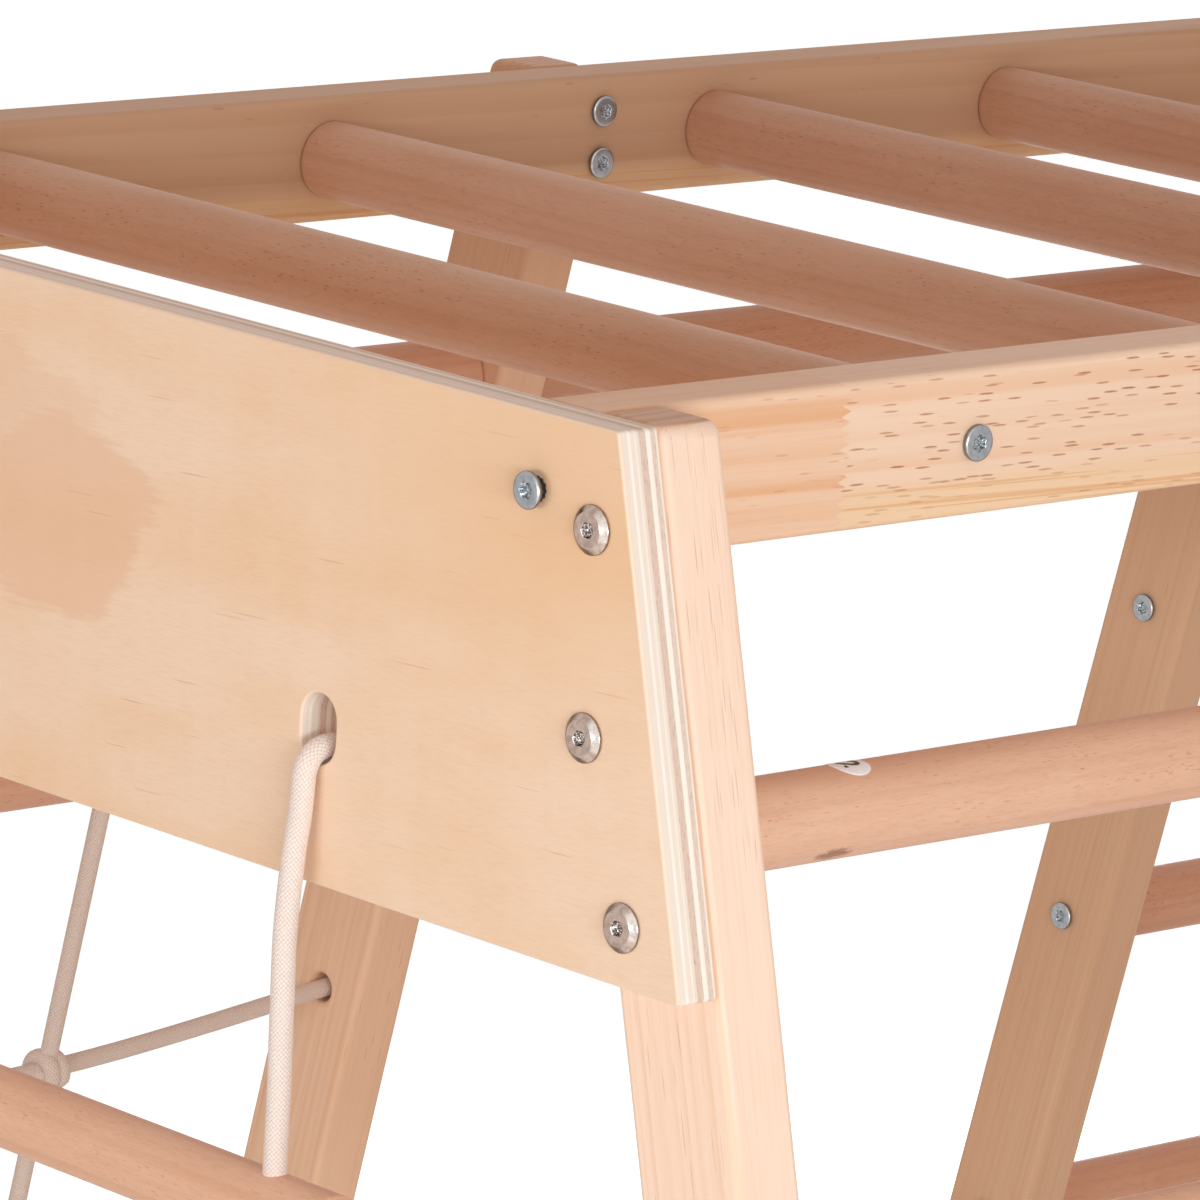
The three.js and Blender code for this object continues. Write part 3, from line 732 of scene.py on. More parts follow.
plywood = {
    "face": linear(244, 211, 183),
    "warm": linear(240, 200, 164),
    "upright": linear(246, 214, 188),
    "stain": linear(232, 184, 150),
    "hairline": linear(186, 118, 78),
    "veneerEdge": linear(243, 216, 194),
    "lightPly": linear(255, 244, 231),
    "darkPly": linear(224, 196, 178),
    "plyStreak": linear(240, 204, 182),
    "pore": linear(186, 150, 124),
    # place, reach, colour and strength: a warmer cloud under the upper edge, and the two parts of a
    # stain, left in the picture by the upper edge
    "corner": ((0.3, 0, 1.235), (0.16, 1, 0.08), linear(236, 190, 146), 0.6),
    "stains": [((0.028, 0, 1.177), (0.058, 1, 0.037), 0.55), ((-0.002, 0, 1.2), (0.06, 1, 0.037), 0.3)],
    "thickness": 0.0177,
    "grainTurn": (0, math.radians(2.5), 0),
    "cloudGrain": (7, 1, 24, 3, 0.55),
    "fineGrain": (150, 1, 1500, 3, 0.6),
    "uprightGrain": (60, 1, 5),
    "frayedGrain": (26, 1, 420, 4, 0.7),
    "broadGrain": (22, 1, 34),
    "hairlines": {"Stretch": (520, 9, 13), "Size": 0.14, "Share": 0.36},
    "roughness": 0.48,
    "bump": 0.00006,
}


def plywoodMaterial(name, facePlace):
    # Sanded plywood: a peeled veneer on each face, with soft clouds, long fine hairlines and a
    # stain, and the plies at every edge and in the slots
    material = newMaterial(name)
    place = coordinate()
    layers = useGroup(plyLayers, {
        "Position": place, "Face depth": facePlace, "Thickness": plywood["thickness"]})
    veneer = put("Mapping", {"Vector": place, "Rotation": plywood["grainTurn"]}).outputs[0]
    cloud, fine, upright, frayed, broad = [
        grains(veneer, *plywood[key + "Grain"]) for key in ("cloud", "fine", "upright", "frayed", "broad")]

    def reach(at, size):
        away = vectors("DIVIDE", vectors("SUBTRACT", place, at), size)
        return vectors("LENGTH", scaled(away, 1, 0, 1))

    face = mixed(step(cloud, 0.35, 0.72), plywood["face"], plywood["warm"])
    face = laid(face, plywood["hairline"], step(fine, 0.4, 0.75), 0.1)
    x, y, z = parts(veneer)
    line = useGroup(flecks, {"Position": xyz(z, y, x), **plywood["hairlines"]})["Mask"]
    face = laid(face, plywood["hairline"], line, 0.45)
    face = mixed(step(upright, 0.4, 0.7, 0, 0.22), face, plywood["upright"])
    at, size, tone, strength = plywood["corner"]
    face = mixed(step(reach(at, size), 0.2, 1.2, strength, 0), face, tone)
    stained = 0
    for at, size, strength in plywood["stains"]:
        away = maths("MULTIPLY_ADD", maths("SUBTRACT", frayed, 0.5), 0.7, reach(at, size))
        away = maths("MULTIPLY_ADD", maths("SUBTRACT", broad, 0.5), 0.9, away)
        stained = maths("MAXIMUM", step(away, 0.86, 1.05, strength, 0), stained)
    face = mixed(stained, face, plywood["stain"])
    edge = mixed(layers["Tone"], plywood["lightPly"], plywood["darkPly"])
    edge = laid(edge, plywood["plyStreak"], layers["Streak"], 0.22)
    edge = laid(edge, plywood["pore"], layers["Pore"], 0.5)
    rind = mixed(layers["Veneer"], edge, plywood["veneerEdge"])
    isFace = step(maths("ABSOLUTE", parts(coordinate("Normal"))[1]), 0.8, 0.98)
    oiled(mixed(isFace, rind, face), plywood["roughness"], fine, plywood["bump"])
    return material


# Cotton, metals and paper

# netToneAndShade deepens the net's cotton: partly a deeper cotton, partly painted shade
cotton = {"light": linear(250, 232, 222), "dark": linear(222, 193, 178), "fuzz": linear(246, 227, 217),
          "netToneAndShade": (0.88, 0.86, 0.83), "roughness": 0.95, "sheen": 0.25, "bump": 0.00022,
          "strands": 16.0, "pitch": 0.0017}


def cottonMaterial(name, tint=(1, 1, 1)):
    material = newMaterial(name)
    # tint deepens the cotton; for the net it is partly painted shade
    light, dark, fuzz = [deeper(cotton[key], tint) for key in ("light", "dark", "fuzz")]
    lay = useGroup(braid, {"Uv": put("UVMap", {}, uv_map="lay").outputs[0],
                           "Strands": cotton["strands"], "Pitch": cotton["pitch"]})
    # painted shade: darker where the braid lies low, in the hollows between strands
    colour = mixed(step(lay["Height"], 0.1, 0.6), dark, light)
    colour = laid(colour, fuzz, step(lay["Fuzz"], 0.35, 0.7), 0.7)
    dress({"Base Color": colour, "Roughness": cotton["roughness"], "Sheen Weight": cotton["sheen"]},
          maths("MULTIPLY_ADD", lay["Fuzz"], 0.5, lay["Height"]), cotton["bump"])
    return material


plated = {
    # highlightTone is a painted highlight, shadeAndTarnish a painted shade and random tarnish, recess the
    # painted tone of the recess
    "nickel": {"tint": linear(190, 168, 155), "highlightTone": linear(236, 224, 216), "shadeAndTarnish": linear(96, 74, 62),
               "recess": linear(80, 70, 64), "roughness": 0.2, "ringPitch": 0.0004},
    "zinc": {"tint": linear(164, 164, 167), "highlightTone": linear(204, 206, 209), "shadeAndTarnish": linear(102, 104, 108),
             "recess": linear(112, 120, 122), "roughness": 0.32, "ringPitch": 0.0005},
    "bump": 0.00003,
}
# the neck's tones are painted shade under the proud head
neckShade = {"light": linear(84, 88, 92), "dark": linear(66, 70, 74), "roughness": 0.5}


def headMaterial(name):
    # Plated steel turned on a lathe: faint rings by the distance from the head's middle, which the
    # mesh carries as its UV with the recess marked. Faces toward the viewer get a painted highlight, and
    # flanks that turn away a painted shade
    metal = plated[name]
    material = newMaterial(name)
    distance, inside, _ = parts(put("UVMap", {}, uv_map="lathe").outputs[0])
    place = coordinate()
    turning = noise(xyz(maths("DIVIDE", distance, metal["ringPitch"])), 2, 0.7)
    facing = put("LayerWeight", {0: 0.5}).outputs["Facing"]
    # painted highlight where the head faces the viewer, painted shade where it turns away
    colour = mixed(step(facing, 0.02, 0.2), metal["highlightTone"], metal["tint"])
    colour = mixed(step(facing, 0.36, 0.72), colour, metal["shadeAndTarnish"])
    # a random tarnish, in the painted shade's tone
    tarnish = step(grains(place, 420, 420, 420, 3, 0.65), 0.38, 0.68, 0, 0.35)
    colour = mixed(tarnish, colour, metal["shadeAndTarnish"])
    # the recess is painted: its own tone stands in for the shade and reflections in it, with painted glints
    glint = step(grains(place, 1800, 1800, 1800, 1), 0.5, 0.64)
    colour = mixed(step(inside, 0.2, 0.8, 0, 0.9), colour, mixed(glint, metal["recess"], metal["highlightTone"]))
    rough = step(turning, 0.3, 0.7, metal["roughness"] * 0.85, metal["roughness"] * 1.2)
    dress({"Base Color": colour, "Roughness": rough, "Metallic": 1}, turning, plated["bump"])
    return material


def neckMaterial():
    # Painted shade under a proud head: an even dark steel tone with a faint cloudy tarnish
    material = newMaterial("neckShadeSteel")
    place = coordinate()
    tarnish = step(grains(place, 260, 260, 260, 3, 0.6), 0.35, 0.7)
    colour = mixed(tarnish, neckShade["light"], neckShade["dark"])
    rough = step(grains(place, 900, 900, 900), 0.3, 0.7, neckShade["roughness"] * 0.8,
                 neckShade["roughness"] * 1.25)
    dress({"Base Color": colour, "Roughness": rough, "Metallic": 1}, grains(place, 2600, 2600, 2600),
          plated["bump"])
    return material


def paperMaterial(name, light, dark):
    material = newMaterial(name)
    fibre = step(grains(coordinate(), 1500, 1500, 1500, 3), 0.3, 0.7)
    dress({"Base Color": mixed(fibre, light, dark), "Roughness": 0.7})
    return material


cottonRope = cottonMaterial("cotton")
netRope = cottonMaterial("netCotton", cotton["netToneAndShade"])
nickel, zinc, neckShadeSteel = headMaterial("nickel"), headMaterial("zinc"), neckMaterial()
print("materials ready")


def finish(piece, material, body="frame", stands=()):
    piece.data.materials.append(material)
    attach(piece, body)
    if stands:
        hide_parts(*stands)


# Rope ladder: the cords come first

ladder = {
    "ropeDiameter": 0.008,
    "slotFromEdge": 0.142,
    "slotDrop": 0.1295,
    "slotHeight": 0.025,
    "tail": 0.026,
    "sides": 36,
    "spacing": 0.0015,                   # between the points of a route
    "softRadius": 0.00425,               # the cotton swells a little over its size
    # behind the board's face, and above the rope's middle in the slot
    "overLip": [
        (0.0195, 0), (0.0185, 0.0001), (0.014, 0.0006), (0.0095, 0.0013), (0.0055, 0.0017),
        (0.0022, 0.0013), (-0.0005, 0.0003), (-0.0027, -0.0015), (-0.0042, -0.0037),
        (-0.005, -0.0064), (-0.0054, -0.0094), (-0.0056, -0.0135),
    ],
    "belowLip": [
        (-0.0061, -0.021), (-0.0079, -0.033), (-0.0094, -0.048), (-0.0101, -0.062),
        (-0.0101, -0.077), (-0.0098, -0.092), (-0.0095, -0.11), (-0.0095, -0.14),
    ],
    "hangShares": [0.12, 0.28, 0.44, 0.6, 0.76, 0.9, 1],
    "bendReach": 0.014,                  # above and below the hinge
    "rungEase": 0.002,
    "rungSides": 56,
}
knot = {"turns": 2.4, "spread": 0.0057, "length": 0.021, "dive": 0.13, "thin": 0.98, "steps": 64,
        "sides": 14}
ropeRadius = ladder["ropeDiameter"] / 2
slotX = halfTop - ladder["slotFromEdge"]
slotZ = frameTop - ladder["slotDrop"]
lipZ = slotZ - ladder["slotHeight"] / 2 + ropeRadius + fit
ladderY = boardFront + ladder["belowLip"][-1][0]
ladderRungs = [f"ladder_rung_{number}" for number in range(1, 6)]
rungHalf = (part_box("ladder_rung_1")[1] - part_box("ladder_rung_1")[0]) / 2
ladderHeights = [middle(name)[2] for name in ladderRungs]
knotDrop = rungHalf.z + fit + knot["length"] / 2


def ropeLumps(angle, way):
    # A soft rope isn't quite round: two slow waves along it, each turned round it once
    return 1 + 0.012 * np.sin(way / 0.0061 + angle) + 0.009 * np.sin(way / 0.0143 - angle)


def ladderRoute(x):
    # Points given over the lip and under it, then straight down under the rungs' weight
    points = [(x, boardFront + y, lipZ + rise) for y, rise in ladder["overLip"] + ladder["belowLip"]]
    low, top = ladderHeights[-1] - knotDrop - ladder["tail"], points[-1][2]
    return points + [(x, ladderY, top + (low - top) * share) for share in ladder["hangShares"]]


def barrelKnot(centre, direction, shape=knot):
    # A rope wound round itself: a helix whose ends dive into the rope it grips
    share = np.linspace(0, 1, shape["steps"])
    dive = np.clip(np.minimum(share, 1 - share) / shape["dive"], 0, 1)
    spread = shape["spread"] * dive * dive * (3 - 2 * dive)
    angle = 2 * math.pi * shape["turns"] * share
    high = (share - 0.5) * (shape["length"] - 2 * ropeRadius)
    route = np.stack([spread * np.cos(angle), spread * np.sin(angle), high], axis=-1)
    return tube(along(route, centre, direction), ropeRadius * shape["thin"], shape["sides"])


def makeLadderRopes():
    for side, sign in sideSigns.items():
        x = sign * slotX
        route = smoothRoute(ladderRoute(x), ladder["spacing"])
        rope = woundPiece(f"hanging_rope_{side}", [
            tube(route, ladder["softRadius"], ladder["sides"], ropeLumps)])
        rope.data.materials.append(cottonRope)
        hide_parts(f"ladder_rope_{side}", f"ladder_rope_anchor_{side}")
        knots = woundPiece(f"rung_knots_{side}", [
            barrelKnot((x, ladderY, height - knotDrop), (0, 0, 1)) for height in ladderHeights])
        finish(knots, cottonRope, "rope_ladder")
        knotY = boardInner + 2 * fit + knot["length"] / 2
        anchor = woundPiece(f"slot_knot_{side}", [barrelKnot((x, knotY, lipZ), (0, 1, 0))])
        finish(anchor, cottonRope, "frame")
        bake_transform(rope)


def makeRod(name, radius, ends, ease, sides, start, direction, material, body="frame", flatAbove=0.02):
    # A rod with round ends, between two distances from its start
    points, faces = turned(eased(radius, *ends, ease), sides)
    rod = makePiece(f"{name}_rod", along(points, start, direction), faces, flatAbove)
    finish(rod, material, body, [name])


def makeLadderRungs():
    for number, (name, height) in enumerate(zip(ladderRungs, ladderHeights)):
        material = beechMaterial(f"beechLadder{number + 1}", crosswiseTurn, (1, 0, 0), 40 + number)
        makeRod(name, rungHalf.z, (-rungHalf.x, rungHalf.x), ladder["rungEase"], ladder["rungSides"],
                (0, ladderY, height), (1, 0, 0), material, "rope_ladder")


makeLadderRopes()
makeLadderRungs()
print("rope ladder made")

# Boards

boards = {"ease": 0.0011, "cornerRound": 0.0016, "slotWidth": 0.018, "flatAbove": 0.004}


def slotOutline(x, steps=12):
    # Two half circles joined by straight sides, run the other way round
    radius = boards["slotWidth"] / 2
    straight = ladder["slotHeight"] / 2 - radius
    angle = np.linspace(0, math.pi, steps + 1)
    across, up = radius * np.cos(angle), straight + radius * np.sin(angle)
    halves = [np.stack([x + way * across, slotZ + way * up], axis=-1) for way in (1, -1)]
    return np.concatenate(halves)[::-1]


def makeBoards():
    low = boardLow.z
    outline = roundedOutline(
        [(-legOuter(low), low), (legOuter(low), low), (halfTop, frameTop), (-halfTop, frameTop)],
        boards["cornerRound"])
    for name, slots in [("board_front", [slotOutline(slotX), slotOutline(-slotX)]), ("board_back", [])]:
        near, far = [corner.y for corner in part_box(name)]
        piece = makePiece(f"{name}_plywood", *plank(outline, near, far, boards["ease"], slots),
                          boards["flatAbove"])
        finish(piece, plywoodMaterial(f"plywood_{name}", near), "frame", [name])


makeBoards()

# The net's rows, which the legs are bored for, and the legs

net = {"rows": 5, "columnShares": [0.325, 0.675], "firstDrop": 0.129, "sag": 0.017, "sides": 20,
       "loopPoints": 48, "spacing": 0.0025,
       # the rows' end knots are small and pulled tight, this far out from the legs
       "endKnot": {**knot, "turns": 1.3, "spread": 0.0045, "length": 0.0115}, "endKnotOut": 0.0065}
netTop, netLow = [middle(rungName("left", 0, level))[2] for level in (2, 7)]
netPitch = (netTop - netLow - 2 * net["firstDrop"]) / (net["rows"] - 1)
netHeights = [netTop - net["firstDrop"] - netPitch * row for row in range(net["rows"])]
legs = {
    "ease": 0.003,
    "boreRadius": 0.0063,
    # foot outside, top outside, top at the notch, in the notch, shoulder, foot inside
    "cornerRounds": [0.0035, 0.0065, 0.0033, 0.001, 0.0035, 0.0035],
    "grainTurn": (0.004, 0.003),
    "pithIn": 0.13,                      # from the leg's middle
    "pithBehind": (0.014, 0.01),         # the near face, and as much more with each row
    "firstSeeds": {"right": 1, "left": 5},
    "flatAbove": 0.005,
    "topShade": (0.84, 0.78, 0.74),         # painted shade on the left legs' upper ends
    # deeper tones for the left back legs, as painted shade
    "legShadeTints": {("left", "mid_back"): (0.83, 0.8, 0.75), ("left", "back"): (0.83, 0.8, 0.75)},
}
legTurned = (halfTop + frameTop * math.tan(lean) - legAcross / 2) * math.cos(lean)


def circle(x, z, radius, steps=28):
    angle = -circleAngles(steps)
    return np.stack([x + radius * np.cos(angle), z + radius * np.sin(angle)], axis=-1)


def makeLegs():
    shoulder, notch = railLow - fit, railOuter + fit
    right = np.array([
        (legOuter(0), 0), (halfTop, frameTop), (notch, frameTop), (notch, shoulder),
        (legOuter(shoulder) - legAcross, shoulder), (legOuter(0) - legAcross, 0)])
    (turnX, turnY), (behind, behindMore) = legs["grainTurn"], legs["pithBehind"]
    for side, sign in sideSigns.items():
        outline = roundedOutline(right * (sign, 1), legs["cornerRounds"])
        for number, (row, (near, far)) in enumerate(rows.items()):
            name = f"leg_{side}_{row}"
            bored = netHeights if side == "left" and row in ("front", "mid_front") else []
            bores = [circle(-legMiddle(z), z, legs["boreRadius"]) for z in bored]
            piece = makePiece(f"{name}_pine", *plank(outline, near, far, legs["ease"], bores),
                              legs["flatAbove"])
            # the rings lie flat to the outer face, so they show as stripes on the front face
            pith = (sign * (legTurned - legs["pithIn"]), near + behind + behindMore * (number - 1))
            material = pineMaterial(
                f"pine_{name}", pines["leg" if name == "leg_right_front" else "farLegShaded"],
                (turnX, sign * lean + turnY, 0), (-sign * math.sin(lean), 0, math.cos(lean)),
                legs["firstSeeds"][side] + number, pith,
                tint=legs["legShadeTints"].get((side, row), (1, 1, 1)),
                topShade=legs["topShade"] if side == "left" else None)
            finish(piece, material, "frame", [name])


makeLegs()
print("boards and legs made")

# Rails, and the rods between them and between the legs

rails = {"ease": 0.0006, "edge": 0.003, "edgeSteps": 6, "flatAbove": 0.006, "grainTurn": 0.02,
         "pith": (0.05, 0.17),
         "woods": {"right": ("rail", 11), "left": ("farRailShaded", 14)}}
rods = {"ease": 0.001, "sides": 64,
        # the first rung's pin knot: right of its middle, behind the board's face, above its middle
        "knotAt": (0.0115, 0.0915, -0.0112)}


def makeRails():
    for side, sign in sideSigns.items():
        name, (wood, seed) = f"top_rail_{side}", rails["woods"][side]
        inner, outer = sorted([sign * railInner, sign * railOuter])
        outline = roundedOutline(
            [(inner, railLow), (outer, railLow), (outer, frameTop), (inner, frameTop)],
            rails["edge"], rails["edgeSteps"])
        points, faces = plank(outline, boardInner + fit, backInner - fit, rails["ease"])
        piece = makePiece(f"{name}_pine", points, faces, rails["flatAbove"])
        # turned about X, a rail's height lies on the pattern's Y, upside down
        across, deep = rails["pith"]
        material = pineMaterial(
            f"pine_{name}", pines[wood], (math.pi / 2 + rails["grainTurn"], 0, 0), (0, 1, 0), seed,
            (sign * railInner + across, -frameTop - deep), jointed=True)
        finish(piece, material, "frame", [name])


def makeBars():
    half = railInner - fit
    for number in range(1, 8):
        name = f"monkey_bar_{number}"
        _, y, z = middle(name)
        material = beechMaterial(f"beechBar{number}", crosswiseTurn, (1, 0, 0), 20 + number,
                                 beech["barShadeTints"][min(number, 3) - 1])
        makeRod(name, rodRadius, (-half, half), rods["ease"], rods["sides"],
                (0, y, z), (1, 0, 0), material)


def makeRungs():
    for seed, (side, bay, level) in enumerate(rungs, 60):
        name = rungName(side, bay, level)
        x, _, z = middle(name)
        near, far = rows[rowNames[bay]][1] + fit, rows[rowNames[bay + 1]][0] - fit
        right, behind, above = rods["knotAt"]
        knotAt = (x + right, boardFront + behind, z + above) if name == "rung_right_front_1" else None
        material = beechMaterial(
            f"beech_{name}", lengthwiseTurn, (0, 1, 0), seed,
            (1, 1, 1) if side == "right" else beech["leftShadeTints"][bayNames[bay]], knotAt)
        makeRod(name, rodRadius, (0, far - near), rods["ease"], rods["sides"],
                (x, near, z), (0, 1, 0), material)


makeRails()
makeBars()
makeRungs()
print("rails, bars and rungs made")


# Net

def makeNet():
    front, back = rows["front"], rows["mid_front"]
    columns = [front[1] + share * (back[0] - front[1]) for share in net["columnShares"]]
    loop = rodRadius + fit + ropeRadius
    turn = circleAngles(net["loopPoints"])
    ropes, knots = [], []

    def onLegs(y, z):
        return (-legMiddle(z), y, z)

    for y in columns:
        for height in (netTop, netLow):
            ring = np.stack([loop * np.cos(turn), 0 * turn, loop * np.sin(turn)], -1) + onLegs(y, height)
            ropes.append(tube(ring, ropeRadius, net["sides"], closed=True))
        ends = [onLegs(y, netTop - loop), onLegs(y, netLow + loop)]
        ropes.append(tube(smoothRoute(ends, net["spacing"]), ropeRadius, net["sides"]))
    hole, end = sum(front) / 2, front[0] - knot["length"] / 2 - fit
    for height in netHeights:
        inner = [onLegs(y, height - net["sag"]) for y in columns]
        outer = height + net["sag"] * (hole - end) / (columns[0] - hole)
        stops = [onLegs(front[0] - fit, outer), *inner, onLegs(back[1] + fit, outer)]
        ropes.append(tube(smoothRoute(stops, net["spacing"]), ropeRadius, net["sides"]))
        knots += [barrelKnot(stop, (0, 1, 0)) for stop in inner]
        ropes += [barrelKnot(onLegs(y, outer), (0, 1, 0), net["endKnot"])
                  for y in (front[0] - net["endKnotOut"], back[1] + net["endKnotOut"])]
    finish(woundPiece("net_ropes", ropes + knots), netRope, "frame", ["rope_net"])


makeNet()
print("net made")

# Fasteners

screws = {"head": 0.0065, "thick": 0.0024, "neck": 0.0043, "neckLength": 0.0031, "recess": 0.0027,
          "recessDeep": 0.0014, "lobes": 6, "lobeDepth": 0.13, "sides": 60, "ribs": 12, "ribDepth": 0.05,
          "neckSides": 72, "pairStep": 0.011, "proud": 0.003, "proudIn": 0.009}
bolts = {"head": 0.0085, "thick": 0.0026, "chamfer": 0.0023, "socket": 0.0026, "socketDeep": 0.0017,
         "corners": 6, "cornerSwell": 0.13, "cornerMiddle": 0.35, "sides": 64,
         # in from the board's upper corner, and down from its upper edge
         "spots": [(0.0094, 0.0344), (0.0076, 0.1041), (-0.0161, 0.1634)]}
sleeveNuts = {**bolts, "head": 0.0075, "thick": 0.002, "chamfer": 0.001, "socketDeep": 0.0014}
heads = {
    "turn": 0.9,                         # each head is turned this much further than the last
    "recessReach": 0.0034,               # the recess lies within this, and under the flat top
    "underTop": 0.0001,
    "flatAbove": 0.0021,
}


def starHead(size):
    # A head with a star recess: the profile goes up from the recess's floor, over the flat top and
    # the rim, and down to the seat. In the recess it swells with the cosine of the angle
    recess, head, thick = size["recess"], size["head"], size["thick"]
    deep = thick - size["recessDeep"]
    profile = [
        (recess * 0.05, deep - 0.0003, 0), (recess * 0.8, deep, 1), (recess * 0.92, deep + 0.0001, 1),
        (recess, thick - 0.0002, 1), (recess * 1.06, thick, 0.8), (recess * 1.3, thick, 0),
        (head * 0.8, thick, 0), (head * 0.92, thick - 0.00006, 0), (head * 0.975, thick - 0.00025, 0),
        (head, thick - 0.0006, 0), (head, thick * 0.45, 0), (head * 0.97, thick * 0.3, 0),
        (head * 0.72, 0, 0), (head * 0.6, -0.0002, 0),
    ]
    return turned(profile, size["sides"], lambda angle: size["lobeDepth"] * np.cos(size["lobes"] * angle))


def ribbedNeck(size):
    # The neck under a proud head, with milling ribs that follow the cosine of the angle
    neck, depth = size["neck"], size["ribDepth"]
    profile = [(size["head"] * 0.62, 0.0001, 0), (neck, -0.0012, depth), (neck, -size["neckLength"], depth)]
    return turned(profile, size["neckSides"], lambda angle: np.cos(size["ribs"] * angle))


def flatBoltHead(size):
    # A flat head with a wide chamfer, a six-cornered socket and a thin rim on the wood
    head, thick, chamfer, socket = size["head"], size["thick"], size["chamfer"], size["socket"]
    floor = thick - size["socketDeep"]
    flat = head - chamfer
    profile = [
        (socket * 0.05, floor - 0.0004, 0), (socket * 0.55, floor - 0.0002, 0), (socket * 0.93, floor, 1),
        (socket, thick - 0.0002, 1), (socket * 1.07, thick - 0.00002, 0.7), (socket * 1.25, thick, 0),
        (flat - 0.0003, thick, 0), (flat - 0.00004, thick, 0), (flat + 0.00004, thick - 0.00004, 0),
        (flat + 0.0003, thick - 0.000233, 0), (head - 0.00015, thick - chamfer * 0.7, 0),
        (head, thick - chamfer * 0.78, 0), (head, 0.00025, 0), (head - 0.0002, 0, 0),
    ]

    def swell(angle):
        # from 0 at the middle of a side to 1 at a corner, squared
        corner = np.abs((angle / (2 * math.pi) * size["corners"]) % 1 - 0.5) * 2
        return size["cornerSwell"] * (corner ** 2 - size["cornerMiddle"])

    return turned(profile, size["sides"], swell)


def manyHeads(name, head, places, material, stands=()):
    # Copies of one head at (place, direction) pairs, in one mesh
    points, faces = head
    reach = np.hypot(points[:, 0], points[:, 1])
    # marks the recess, which the material paints with shade and glints
    inside = (reach < heads["recessReach"]) & (points[:, 2] < points[:, 2].max() - heads["underTop"])
    uv = np.stack([reach, inside], axis=-1)
    copies = []
    for number, (place, direction) in enumerate(places):
        c, s = math.cos(heads["turn"] * number), math.sin(heads["turn"] * number)
        spun = points @ np.array([[c, s, 0], [-s, c, 0], [0, 0, 1]])
        copies.append((along(spun, place, direction), faces, uv))
    finish(woundPiece(name, copies, "lathe", heads["flatAbove"]), material, "frame", stands)


def rungScrews(side):
    # One screw head at each open end of a rung, on the far face of its leg
    found = []
    for itsSide, bay, level in rungs:
        if itsSide != side:
            continue
        x, _, z = middle(rungName(side, bay, level))
        for row, nextBay, way in [(bay, bay - 1, -1), (bay + 1, bay + 1, 1)]:
            covered = row in (0, 3) and z > boardLow.z
            if rungName(side, nextBay, level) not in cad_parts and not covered:
                face = rows[rowNames[row]][0 if way < 0 else 1] + way * fit
                found.append(((x, face, z), (0, way, 0)))
    return found


def makeFasteners():
    screwHead, boltHead, nutHead = starHead(screws), flatBoltHead(bolts), flatBoltHead(sleeveNuts)
    neckPoints, neckFaces = ribbedNeck(screws)
    barY = [middle(f"monkey_bar_{number}")[1] for number in range(1, 8)]
    pair = (-screws["pairStep"], screws["pairStep"])
    for side, sign in sideSigns.items():
        manyHeads(f"rail_screws_{side}", screwHead,
                  [((sign * (railOuter + fit), y, railMiddle), (sign, 0, 0)) for y in barY], zinc)
        # the middle legs' screws come from inside the rail
        inside = [((sign * (railInner - fit), sum(rows[row]) / 2, railMiddle + rise), (-sign, 0, 0))
                  for row in ("mid_front", "mid_back") for rise in pair]
        manyHeads(f"leg_screws_{side}", screwHead, inside, zinc)
        for place, way, face, stands in [("front", -1, boardFront, [f"board_screw_{side}"]),
                                         ("back", 1, frameBack, [])]:
            spot = (sign * (railOuter - screws["proudIn"]), face + way * screws["proud"], railMiddle)
            manyHeads(f"board_{place}_screw_{side}", screwHead, [(spot, (0, way, 0))], zinc,
                      stands)
            neck = makePiece(f"board_{place}_neck_{side}", along(neckPoints, spot, (0, way, 0)),
                             neckFaces)
            finish(neck, neckShadeSteel, "frame")
        places = [(sign * (halfTop - inset), frameTop - drop) for inset, drop in bolts["spots"]]
        for number, (x, z) in enumerate(places, 1):
            manyHeads(f"front_bolt_{side}_{number}", boltHead, [((x, boardFront - fit, z), (0, -1, 0))],
                      nickel, [f"connector_bolt_{side}_{number}"])
        manyHeads(f"back_bolts_{side}", boltHead, [((x, frameBack + fit, z), (0, 1, 0)) for x, z in places],
                  nickel)
        nuts = [((x, y, z), (0, way, 0)) for y, way in ((rows["front"][1], 1), (rows["back"][0], -1))
                for x, z in places]
        manyHeads(f"sleeve_nuts_{side}", nutHead, nuts, nickel)
        manyHeads(f"rung_screws_{side}", screwHead, rungScrews(side), zinc)


makeFasteners()
print("fasteners made")

# Paper number on the first rung

label = {"behindBoard": 0.1062, "radius": 0.0078, "turn": math.radians(87), "proud": 0.00015,
         "thick": 0.00012, "rings": 9, "sides": 48, "digit": "2", "digitSize": 0.0115,
         "digitProud": 0.0001, "extrude": 0.00005, "bolder": 0.0002,
         "paper": (linear(255, 252, 254), linear(246, 240, 242)),
         "ink": (linear(84, 60, 52), linear(62, 44, 38))}


def wrapOnRod(flat, axis):
    # Bends a flat drawing round a rod along Y: its width follows the rod, its height goes round
    angle = label["turn"] + flat[:, 1] / rodRadius
    size = rodRadius + flat[:, 2]
    return np.stack([size * np.cos(angle), flat[:, 0], size * np.sin(angle)], axis=-1) + axis


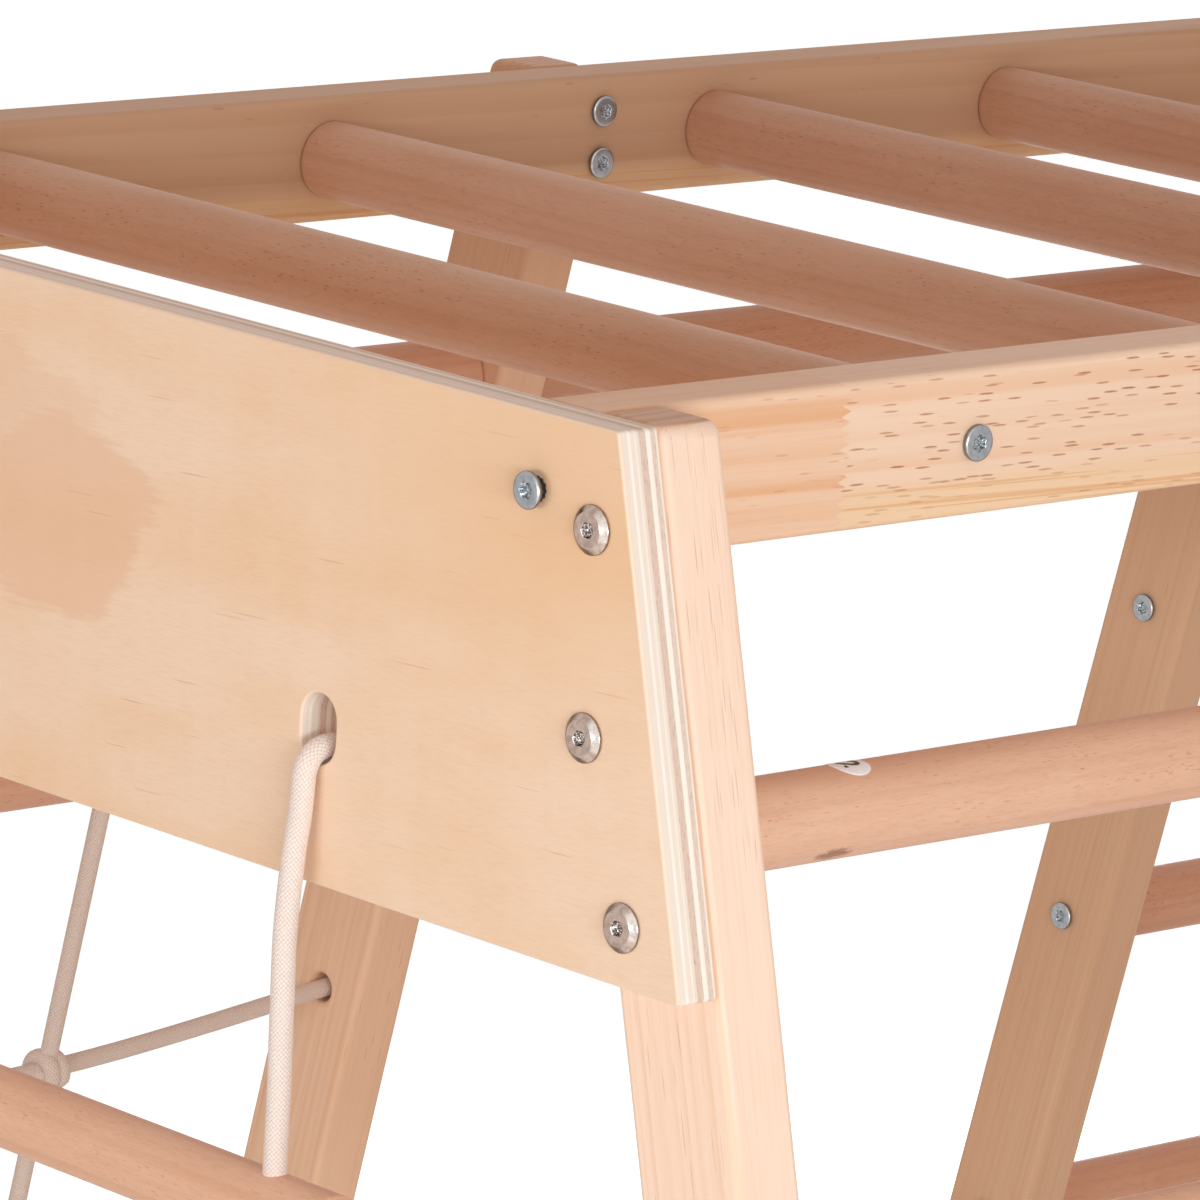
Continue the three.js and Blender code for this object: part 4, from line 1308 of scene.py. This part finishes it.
def makeLabel():
    x, _, z = middle("rung_right_front_1")
    axis = (x, boardFront + label["behindBoard"], z)
    count, sides, proud = label["rings"], label["sides"], label["proud"]
    reach = np.linspace(0, label["radius"], count + 1)[1:]
    angle = circleAngles(sides)
    disc = np.stack([np.outer(reach, np.cos(angle)), np.outer(reach, np.sin(angle)),
                     np.full((count, sides), proud)], axis=-1).reshape(-1, 3)
    disc = np.concatenate([disc, [[0, 0, proud]]])
    faces = rowsOfQuads(count, sides) + [[count * sides, (n + 1) % sides, n] for n in range(sides)]
    paper = makePiece("number_paper", wrapOnRod(disc, axis), faces)
    paper.modifiers.new("thick", "SOLIDIFY").thickness = label["thick"]
    finish(paper, paperMaterial("labelPaper", *label["paper"]))
    text = bpy.data.curves.new("digit", "FONT")
    text.body, text.size = label["digit"], label["digitSize"]
    text.align_x, text.align_y = "CENTER", "CENTER"
    text.extrude, text.offset = label["extrude"], label["bolder"]
    writing = bpy.data.objects.new("digit", text)
    bpy.context.scene.collection.objects.link(writing)
    bpy.context.view_layer.update()
    mesh = bpy.data.meshes.new_from_object(writing.evaluated_get(bpy.context.evaluated_depsgraph_get()))
    bpy.data.objects.remove(writing)
    flat = np.zeros(len(mesh.vertices) * 3)
    mesh.vertices.foreach_get("co", flat)
    x, y, z = flat.reshape(-1, 3).T
    # its top points along the rod
    wrapped = wrapOnRod(np.stack([y, -x, z + proud + label["digitProud"]], axis=-1), axis)
    mesh.vertices.foreach_set("co", wrapped.astype(np.float32).ravel())
    digit = bpy.data.objects.new("number_digit", mesh)
    bpy.context.scene.collection.objects.link(digit)
    recalculateNormals(mesh)
    mesh.materials.clear()
    finish(digit, paperMaterial("labelInk", *label["ink"]))


makeLabel()
print("label made")

# Floor, backdrop and light

studio = {
    "floor": linear(236, 234, 231),
    "floorGlow": (0.82, 0.94, 1.0, 1),   # evens out the warm sky, so that the floor looks white
    "floorLift": 0.7,
    "floorRoughness": 0.9,
    "floorReach": 60,
    "sky": 0.52,
    "skyTint": (1.0, 0.8, 0.7, 1),
    "lampTint": (0.8, 0.94, 1.0),
    # place, size, power, and the side of the frame that it is aimed at
    "lamps": {"key": ((2.2, -1.5, 1.3), (1.3, 0.35), 27, 1),
              "fill": ((0.5, -2.9, 1.2), (1.6, 0.35), 16, 1),
              "back": ((-2.0, 2.5, 0.45), (1.6, 0.6), 20, -1)},
    "aimDrop": 0.15,                     # the lamps look this far under the top's corner
}


def seenRays():
    # 1 where the camera sees it, also in gloss and through glass
    rays = put("LightPath", {}).outputs
    seen = maths("ADD", rays["Is Camera Ray"], rays["Is Glossy Ray"], clamp=True)
    return maths("ADD", seen, rays["Is Transmission Ray"], clamp=True)


def makeStudio():
    reach = studio["floorReach"]
    corners = np.array([(-reach, -reach, 0), (reach, -reach, 0), (reach, reach, 0), (-reach, reach, 0)], float)
    floor = makePiece("floor", corners, [[0, 1, 2, 3]], turnOut=False)
    floor.data.materials.append(newMaterial("floor"))
    dress({"Base Color": studio["floor"], "Roughness": studio["floorRoughness"],
           "Emission Color": studio["floorGlow"],
           "Emission Strength": times(seenRays(), studio["floorLift"])})
    world = bpy.data.worlds.new("studio")
    bpy.context.scene.world = world
    world.use_nodes = True
    inHand["tree"] = world.node_tree
    world.node_tree.nodes.clear()
    seen = seenRays()
    strength = maths("MULTIPLY_ADD", seen, 1 - studio["sky"], studio["sky"])
    tint = mixed(seen, studio["skyTint"], (1, 1, 1, 1))
    put("OutputWorld", {0: put("Background", {"Color": tint, "Strength": strength}).outputs[0]})
    for name, (at, size, power, side) in studio["lamps"].items():
        lamp = bpy.data.lights.new(name, "AREA")
        lamp.shape = "RECTANGLE"
        lamp.size, lamp.size_y = size
        lamp.energy, lamp.color = power, studio["lampTint"]
        holder = bpy.data.objects.new(name, lamp)
        holder.location = at
        aim = Vector((side * halfTop, side * boardFront, frameTop - studio["aimDrop"])) - Vector(at)
        holder.rotation_euler = aim.to_track_quat("-Z", "Y").to_euler()
        bpy.context.scene.collection.objects.link(holder)


makeStudio()
print("studio made")
